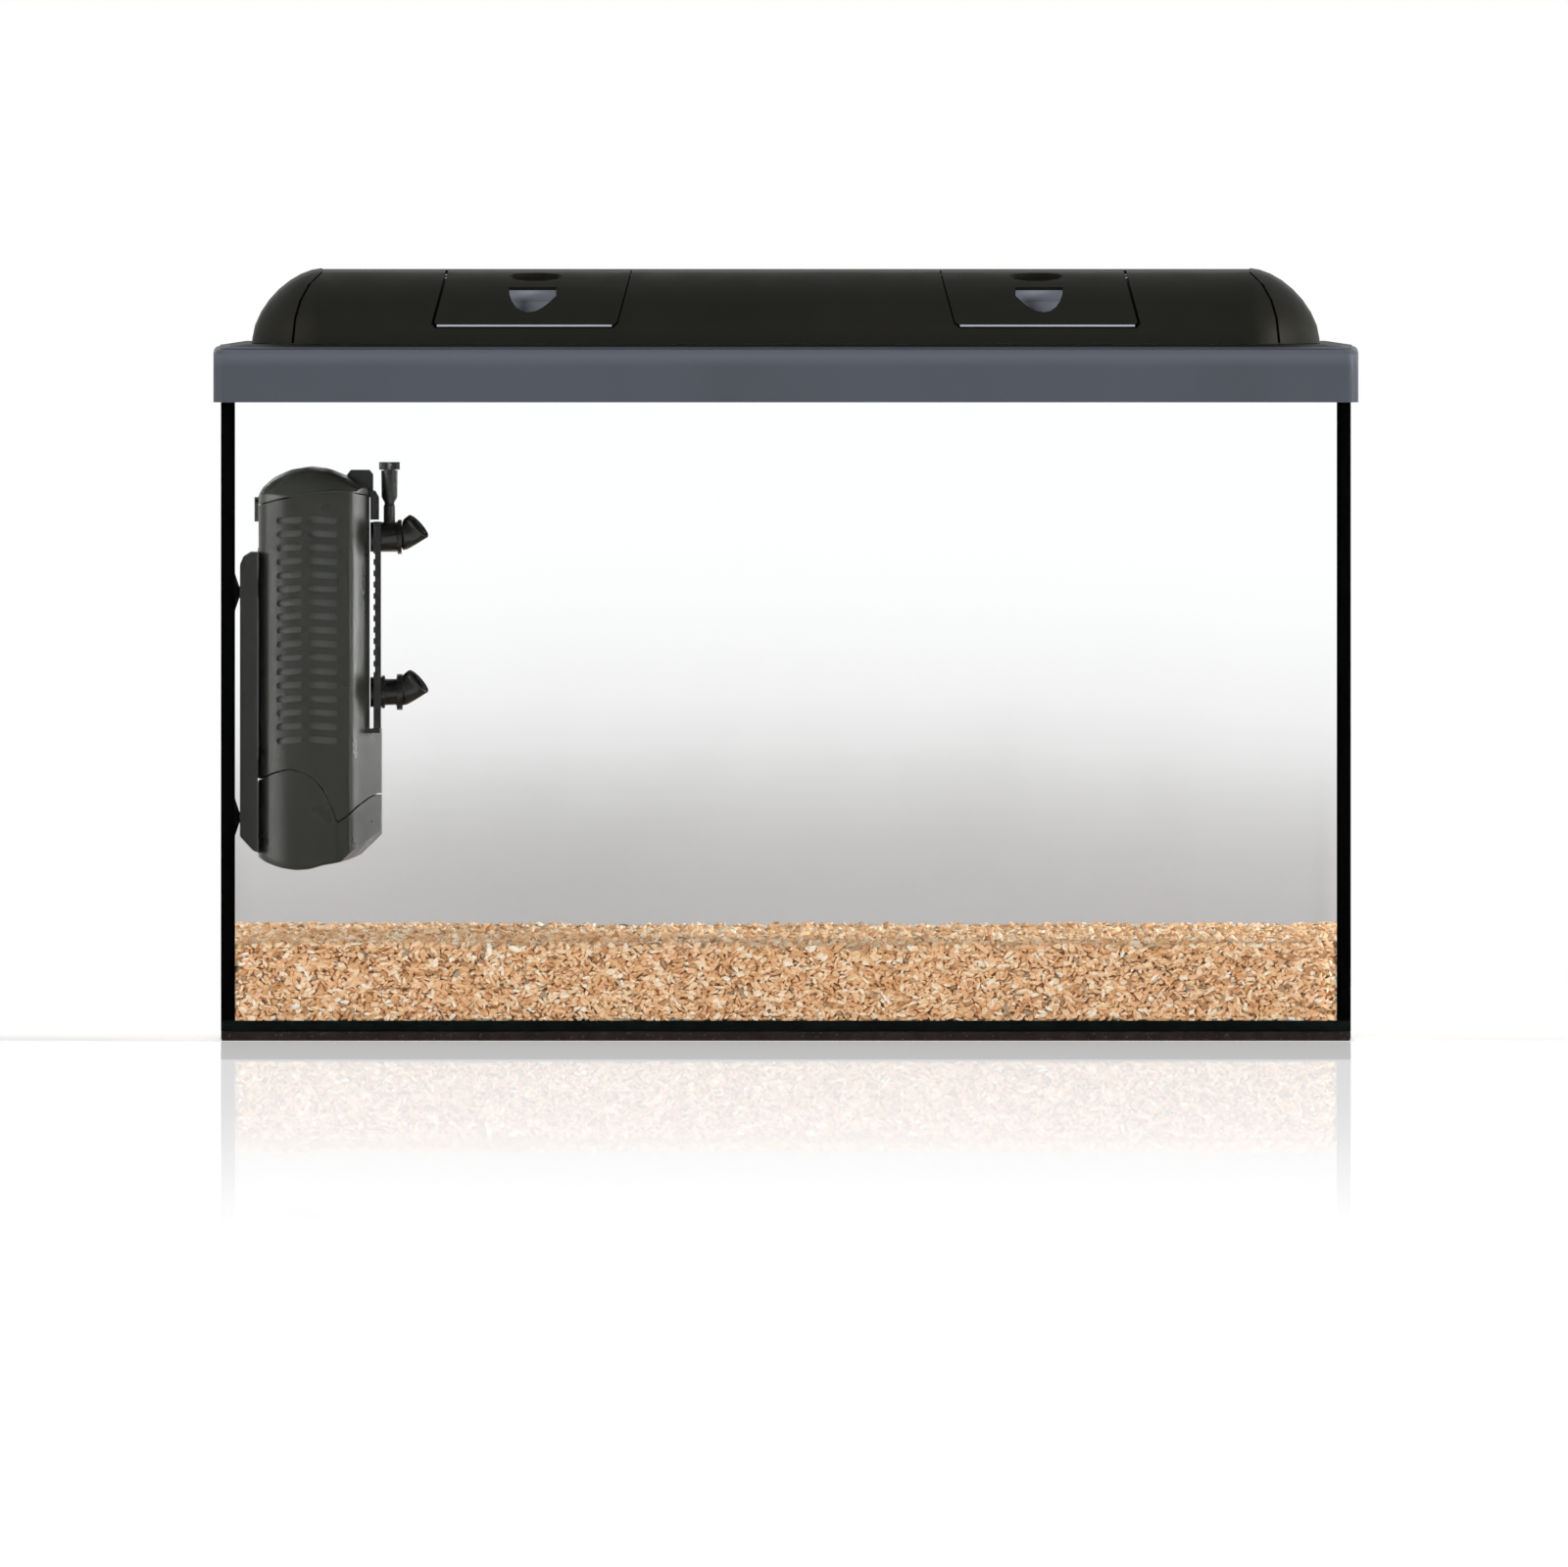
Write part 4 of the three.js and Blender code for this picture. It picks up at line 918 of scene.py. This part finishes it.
def make_housing_head(material):
    outline = housing_outline()
    outline[:, 0] = np.minimum(outline[:, 0], RAIL_SIDE - 0.1)
    crown, depth = curve(HEAD_CROWN, 0.6), curve(HEAD_DEPTH, 1.5)
    rise = HEAD_TOP - HEAD_FOOT

    def surface(places):
        """Height of the crown: a share from its front outline times one from its side outline."""
        across = (crown(places[:, 0]) - HEAD_FOOT) / rise
        share = across * (depth(places[:, 1]) - HEAD_FOOT) / rise
        return HEAD_FOOT + rise * np.maximum(share, 0)

    seam = curve(HEAD_SEAM)(outline[:, 0]) + 0.2
    middle = np.array(HEAD_MIDDLE)
    rows = [np.column_stack([outline, seam])]
    edge = np.maximum(surface(outline), seam + HEAD_RIM)
    rows.append(np.column_stack([outline, (seam + edge) / 2]))
    rows.append(np.column_stack([outline, edge]))
    for share in HEAD_RINGS:
        ring = middle + (outline - middle) * share
        lift = np.maximum(surface(ring), seam + HEAD_RIM)
        rows.append(np.column_stack([ring, lift]))
    faces = grid_faces(len(rows), len(outline), closed=True)
    start = (len(rows) - 1) * len(outline)
    faces.append(tuple(range(start, start + len(outline))))
    data = mesh_of(placed(np.concatenate(rows)), faces)
    head = filter_piece("housing_head", data, material, "filter", "filter_head")
    thick(head)
    soften(head, 0.4 * MM, angle=50)
    data = blocks(*HEAD_BLOCKS)
    lug = filter_piece("head_lug", data, material, "filter", "filter_head", smooth=False)
    soften(lug, 0.4 * MM)


def chamfer(data):
    """Cuts the cup's skin off along the chamfer and closes it there."""
    shape = bmesh.new()
    shape.from_mesh(data)
    along, inwards = Vector(CHAMFER_ALONG).normalized(), Vector(CHAMFER_INWARDS).normalized()
    out = inwards.cross(along).normalized()
    everything = shape.verts[:] + shape.edges[:] + shape.faces[:]
    start = Vector(placed(CHAMFER_PLACE))
    bmesh.ops.bisect_plane(shape, geom=everything, plane_co=start, plane_no=out, clear_outer=True)
    rim = [edge for edge in shape.edges if edge.is_boundary]
    rim = [edge for edge in rim if abs((edge.verts[0].co - start).dot(out)) < 1e-6]
    bmesh.ops.holes_fill(shape, edges=rim)
    bmesh.ops.recalc_face_normals(shape, faces=shape.faces)
    shape.to_mesh(data)
    shape.free()


def make_housing_cup(material):
    outline = housing_outline()
    x = outline[:, 0]
    floor, seam = curve(CUP_FLOOR), curve(CUP_SEAM)(x) - SEAM_GAP
    middle = np.array(CUP_MIDDLE)
    rows = []
    for share in CUP_RINGS:
        ring = middle + (outline - middle) * share
        rows.append(np.column_stack([ring, floor(ring[:, 0])]))
    rows += rows_between(outline, floor(x) + 0.8, seam, 16)
    faces = grid_faces(len(rows), len(outline), closed=True)
    faces.append(tuple(reversed(range(len(outline)))))
    data = mesh_of(placed(np.concatenate(rows)), faces)
    chamfer(data)
    cup = filter_piece("housing_cup", data, material, "cup", "filter_cup")
    thick(cup)
    cut(cup, blocks(CUP_GROOVE))
    filter_piece("cup_guide", blocks(CUP_GUIDE), material, "cup", "filter_cup", smooth=False)
    smoothed(cup)


# A nozzle starts on its outlet's axis and ends above it, turned up and forwards.
SPOUT_ROOT, SPOUT_MOUTH = (46.0, 4.0, 0.0), (54.6, -1.0, 5.6)
SPOUT_WAY = ((1.0, 0, 0), (0.6, -0.6, 0.53))  # which way it points, at its root and its mouth
SPOUT_ACROSS = ((0, 0, -1.0), (0.66, 0, -0.75))  # which way its width lies, likewise
# Rings: how far along, the half-width, the half-height, and a push along the way out. The last six
# turn back inside the mouth.
SPOUT_RINGS = [
    (0.0, 5.5, 5.5, 0), (0.05, 7.4, 7.4, 0), (0.2, 8.0, 8.0, 0), (0.38, 7.9, 7.6, 0),
    (0.6, 7.7, 5.9, 0), (0.8, 7.6, 4.2, 0), (0.95, 7.6, 3.3, 0), (1.0, 7.8, 3.4, 0),
    (1.0, 7.5, 3.1, 0.7), (1.0, 6.8, 2.4, 0.7), (1.0, 6.4, 2.0, 0.2), (0.9, 6.1, 1.8, 0),
    (0.6, 5.0, 1.8, 0), (0.4, 3.0, 1.6, 0),
]  # fmt: skip
OUTLET_HEIGHTS = {"upper": 267.8, "lower": 185.5}


def make_spout(level, material):
    """An outlet's nozzle: a round socket that flattens into an oval mouth."""
    name = f"{level}_nozzle"
    root, mouth = (np.array(end) + (0, 0, OUTLET_HEIGHTS[level]) for end in (SPOUT_ROOT, SPOUT_MOUTH))
    start_out, end_out = np.array(SPOUT_WAY)
    start_across, end_across = np.array(SPOUT_ACROSS)
    turn = np.linspace(0, 2 * math.pi, 28, endpoint=False)[:, None]
    rows = []
    for share, wide, high, push in SPOUT_RINGS:
        out = (1 - share) * start_out + share * end_out
        across = (1 - share) * start_across + share * end_across
        out /= np.linalg.norm(out)
        across -= out * (across @ out)
        across /= np.linalg.norm(across)
        centre = root + (mouth - root) * share + out * push
        width, height = wide * np.cos(turn) * across, high * np.sin(turn) * np.cross(out, across)
        rows.append(centre + width + height)
    faces = capped(grid_faces(len(rows), len(turn), closed=True), len(rows), len(turn))
    data = mesh_of(placed(np.concatenate(rows)), faces)
    spout = shown(f"{name}_bill", data, material, f"{level}_spout", [name])
    recalculate(spout)


# ---------------------------------------------------------------- hood details

# The joint between an end cap and the vault: heights, and distances from the middle.
CAP_SEAM_HEIGHTS = (368, 383.5, 393, 402, 409.6)
CAP_SEAM_PLACES = (262.3, 260.6, 257.8, 252.8, 244.8)

VAULT_AXIS = (-96.9, 370)  # Y and Z of the middle of the vault's front round, in millimetres
VAULT_RADIUS = 38.1
REBATE_RADIUS = 35.3
REBATE_WALL = 0.8
REBATE_REACH = 3  # how far a rebate reaches to each side of its gap
FLAP_SIDES = (-187.3, -90.5)  # X of the left flap's sides at its foot
FLAP_BOTTOM = 379
FLAP_TOP = 404.5
FLAP_LEAN = 8 / 29.1  # how far a flap's sides lean to the right for each millimetre up
# The black strip in each end cap's joint, painted in as the seam's shade:
SHADE_STRIP_HALF_WIDTH = 0.6
SHADE_STRIP_DEPTH = 1.2
SHADE_STRIP_PROUD = 0.05  # how far it stands out of the hood
SHADE_STRIP_HEIGHTS = (370.4, 407.6)
BESIDE_JOINT = (-0.8, 0.8)  # where the hood's surface is felt, on the vault and on the cap
OUTSIDE = 400  # a distance from the middle that is outside the hood


def on_vault(x, z, radius):
    """A point at height z on the vault's front round, at a radius from its axis."""
    rise = min(max((z - VAULT_AXIS[1]) / radius, -1), 1)
    return (x, VAULT_AXIS[0] - radius * math.sqrt(1 - rise * rise), z)


def lean(z):
    """How far a flap's side has moved to the right at height z."""
    return FLAP_LEAN * (z - FLAP_BOTTOM)


def bent_strip(places, outer, inner):
    """A closed strip bent with the vault. Each place holds a left X, a right X and a height."""
    rows = []
    for left, right, z in places:
        corners = [(left, outer), (right, outer), (right, inner), (left, inner)]
        rows += [on_vault(x, z, radius) for x, radius in corners]
    return np.array(rows) * MM, capped(grid_faces(len(places), 4, closed=True), len(places), 4)


def joined_mesh(parts):
    """One mesh from several lots of points and faces."""
    points, faces = [], []
    for part_points, part_faces in parts:
        faces += [tuple(len(points) + i for i in face) for face in part_faces]
        points += part_points.tolist()
    return mesh_of(points, faces)


def make_hood_details(dark, pale):
    """A dark rebate behind each flap's gaps, and a pale strip along each flap's lower edge, a painted
    highlight on that edge.
    """
    left, right = FLAP_SIDES
    foot = FLAP_BOTTOM - REBATE_REACH
    strips = [[(left - 4, right + 4, z) for z in np.linspace(foot, FLAP_BOTTOM + 1.2, 3)]]
    for edge in (left - 0.75, right + 0.4):
        places = [(edge + lean(z), z) for z in np.linspace(foot, FLAP_TOP, 16)]
        strips.append([(x - REBATE_REACH, x + REBATE_REACH, z) for x, z in places])
    rebates = [bent_strip(strip, REBATE_RADIUS, REBATE_RADIUS - REBATE_WALL) for strip in strips]
    # Painted highlight: the pale strip under each flap's lower edge stands for the light caught there.
    heights = (FLAP_BOTTOM + 0.1, FLAP_BOTTOM + 0.6, FLAP_BOTTOM + 1.1)
    edge = [(left + 2, right - 2, z) for z in heights]
    lip_highlight = bent_strip(edge, VAULT_RADIUS + 0.25, VAULT_RADIUS - 0.3)
    for side, name in ((1, "left"), (-1, "right")):
        flipped = (side, 1, 1)
        data = joined_mesh([(points * flipped, faces) for points, faces in rebates])
        rebate = shown(f"{name}_rebate", data, dark, "hood", [], smooth=False)
        recalculate(rebate)
        data = mesh_of(lip_highlight[0] * flipped, lip_highlight[1])
        piece = shown(f"{name}_flap_lip_highlight", data, pale, f"{name}_lid", [], smooth=False)
        recalculate(piece)


def shade_strip_row(x, z, way, side, trees):
    """The four corners of the black strip at one height, or nothing where the ray misses the hood."""
    hits = []
    for tree, shift in zip(trees, BESIDE_JOINT):
        start = Vector((x + side * shift, way * OUTSIDE, z)) * MM
        hits.append(tree.ray_cast(start, Vector((0, -way, 0)))[0])
    if None in hits:
        return []
    outer = max(way * hit.y / MM for hit in hits) + SHADE_STRIP_PROUD
    inner = outer - SHADE_STRIP_DEPTH
    left, right = x - SHADE_STRIP_HALF_WIDTH, x + SHADE_STRIP_HALF_WIDTH
    plan = [(left, outer), (right, outer), (right, inner), (left, inner)]
    return [(at, way * y, z) for at, y in plan]


def make_cap_shade_strips(material):
    """A black strip in the joint between each end cap and the vault, on the front and the back: painted
    shade in the seam.
    """
    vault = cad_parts["hood_vault"]
    for side, name in ((-1, "left"), (1, "right")):
        trees = []
        for node in (vault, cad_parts[f"{name}_end_cap"]):
            points = [node.matrix_world @ v.co for v in node.data.vertices]
            faces = [tuple(p.vertices) for p in node.data.polygons]
            trees.append(BVHTree.FromPolygons(points, faces))
        parts = []
        for way in (-1, 1):
            rows = []
            for z in np.linspace(*SHADE_STRIP_HEIGHTS, 26):
                x = side * np.interp(z, CAP_SEAM_HEIGHTS, CAP_SEAM_PLACES)
                rows += shade_strip_row(x, z, way, side, trees)
            count = len(rows) // 4
            faces = capped(grid_faces(count, 4, closed=True), count, 4)
            parts.append((np.array(rows) * MM, faces))
        data = joined_mesh(parts)
        shade_strip = shown(f"{name}_cap_seam_shade", data, material, "hood", [], smooth=False)
        recalculate(shade_strip)


def recalculate(piece):
    """Turns every face outwards."""
    shape = bmesh.new()
    shape.from_mesh(piece.data)
    bmesh.ops.recalc_face_normals(shape, faces=shape.faces)
    shape.to_mesh(piece.data)
    shape.free()


# ---------------------------------------------------------------- kept CAD nodes


def top_of(name):
    """The top of a CAD node in its own coordinates."""
    return max(corner[2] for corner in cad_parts[name].bound_box)


def dress_tank():
    dress(["front_pane", "rear_pane", "left_pane", "right_pane", "bottom_pane"], clear_glass())
    seams = ["front_left_seam", "front_right_seam", "rear_left_seam", "rear_right_seam"]
    dress(seams, soft_rubber("black_silicone", grey(0.0004), 0.6, 0.0))
    dress(["base_seam"], soft_rubber("base_silicone", (0.0042, 0.0062, 0.0054), 0.6, 0.0))
    dress(["rear_film"], graded_film())


def dress_hood():
    """The hood's plastics. The frame pales towards its top, a painted highlight along its top edge, and
    the deck is slate under a jet crown.
    """
    slate, jet = (0.052, 0.0585, 0.072), (0.0085, 0.0085, 0.0078)
    top = top_of("hood_frame")
    # Painted highlight: the frame is drawn paler in a band just under its top.
    band = (grey(1.6, slate), top - 9 * MM, top - 3 * MM)
    dress(["hood_frame"], moulded_plastic("slate_plastic", slate, 0.5, 0.2, fade=band))
    top = top_of("hood_deck")
    band = (jet, top - 1.4 * MM, top - 1.2 * MM)
    dress(["hood_deck"], moulded_plastic("deck_plastic", slate, 0.5, 0.14, fade=band))
    black = moulded_plastic("black_plastic", jet, 0.55, 0.135, gloss=(1, 0.96, 0.7))
    hood = ["hood_vault", "left_end_cap", "right_end_cap", "left_flap", "right_flap"]
    dress([*hood, "left_lamp_holder", "right_lamp_holder"], black)
    pale = moulded_plastic("grip_plastic", (0.31, 0.325, 0.375), 0.45)
    dress(["left_flap_grip", "right_flap_grip"], pale)
    make_hood_details(black, pale)
    # Painted shade: a black strip in each end cap's joint stands for the seam's shade.
    make_cap_shade_strips(soft_rubber("seam_shade_black", grey(0.0015), 0.8, 0.0))
    steel = metal("drawn_steel", (0.6, 0.61, 0.63), 0.28, (0.1, 1, 1))
    dress(["left_hinge_pin", "right_hinge_pin"], steel)
    dress(["lamp_tube"], smooth_white("lamp_coating", (0.9, 0.92, 0.93), 0.25))
    dress(["lamp_reflector"], metal("rolled_reflector", (0.8, 0.81, 0.82), 0.22, (0.05, 1, 1)))


def dress_filter():
    """The filter's fittings and inside. Its suction cups share their rubber with the hood's gland."""
    dark = moulded_plastic("filter_black", (0.012, 0.013, 0.011), 0.22, 0.5)
    inside = ["pump_chamber", "motor_block", "impeller"]
    dress([*inside, "filter_gland", "outlet_rail", "rail_clip", "upper_outlet", "lower_outlet"], dark)
    for level in ("upper", "lower"):
        make_spout(level, dark)
    dress(["air_valve_body", "air_valve_knob", "filter_bracket"], dark)
    dress(["impeller_shaft"], smooth_white("ground_ceramic", (0.8, 0.79, 0.74), 0.3))
    corners = ("upper_front", "upper_rear", "lower_front", "lower_rear")
    cups = [f"{corner}_suction_cup" for corner in corners]
    dress([*cups, "hood_gland"], soft_rubber("black_rubber", (0.010, 0.010, 0.009), 0.5))
    dress(["filter_foam"], open_sponge())


def make_filter_housing():
    olive = moulded_plastic("filter_plastic", (0.022, 0.0232, 0.0185), 0.3)
    make_housing_case(olive)
    make_strainer(moulded_plastic("strainer_plastic", (0.076, 0.078, 0.071), 0.5))
    make_housing_cup(olive)
    make_housing_head(moulded_plastic("glossy_filter_plastic", (0.052, 0.054, 0.046), 0.2))


def make_floor():
    left, right = -FLOOR_SIDE, FLOOR_SIDE
    front, back = -FLOOR_FRONT, FLOOR_BACK
    corners = [(left, front, 0), (right, front, 0), (right, back, 0), (left, back, 0)]
    data = mesh_of(corners, [(0, 1, 2, 3)])
    data.materials.append(white_floor())
    floor = bpy.data.objects.new("floor", data)
    bpy.context.scene.collection.objects.link(floor)
    floor.location.z = -FLOOR_DROP


# ---------------------------------------------------------------- the scene

make_camera()
make_light()
make_floor()
dress_tank()
dress_hood()
dress_filter()
make_gravel()
make_mat()
make_filter_housing()
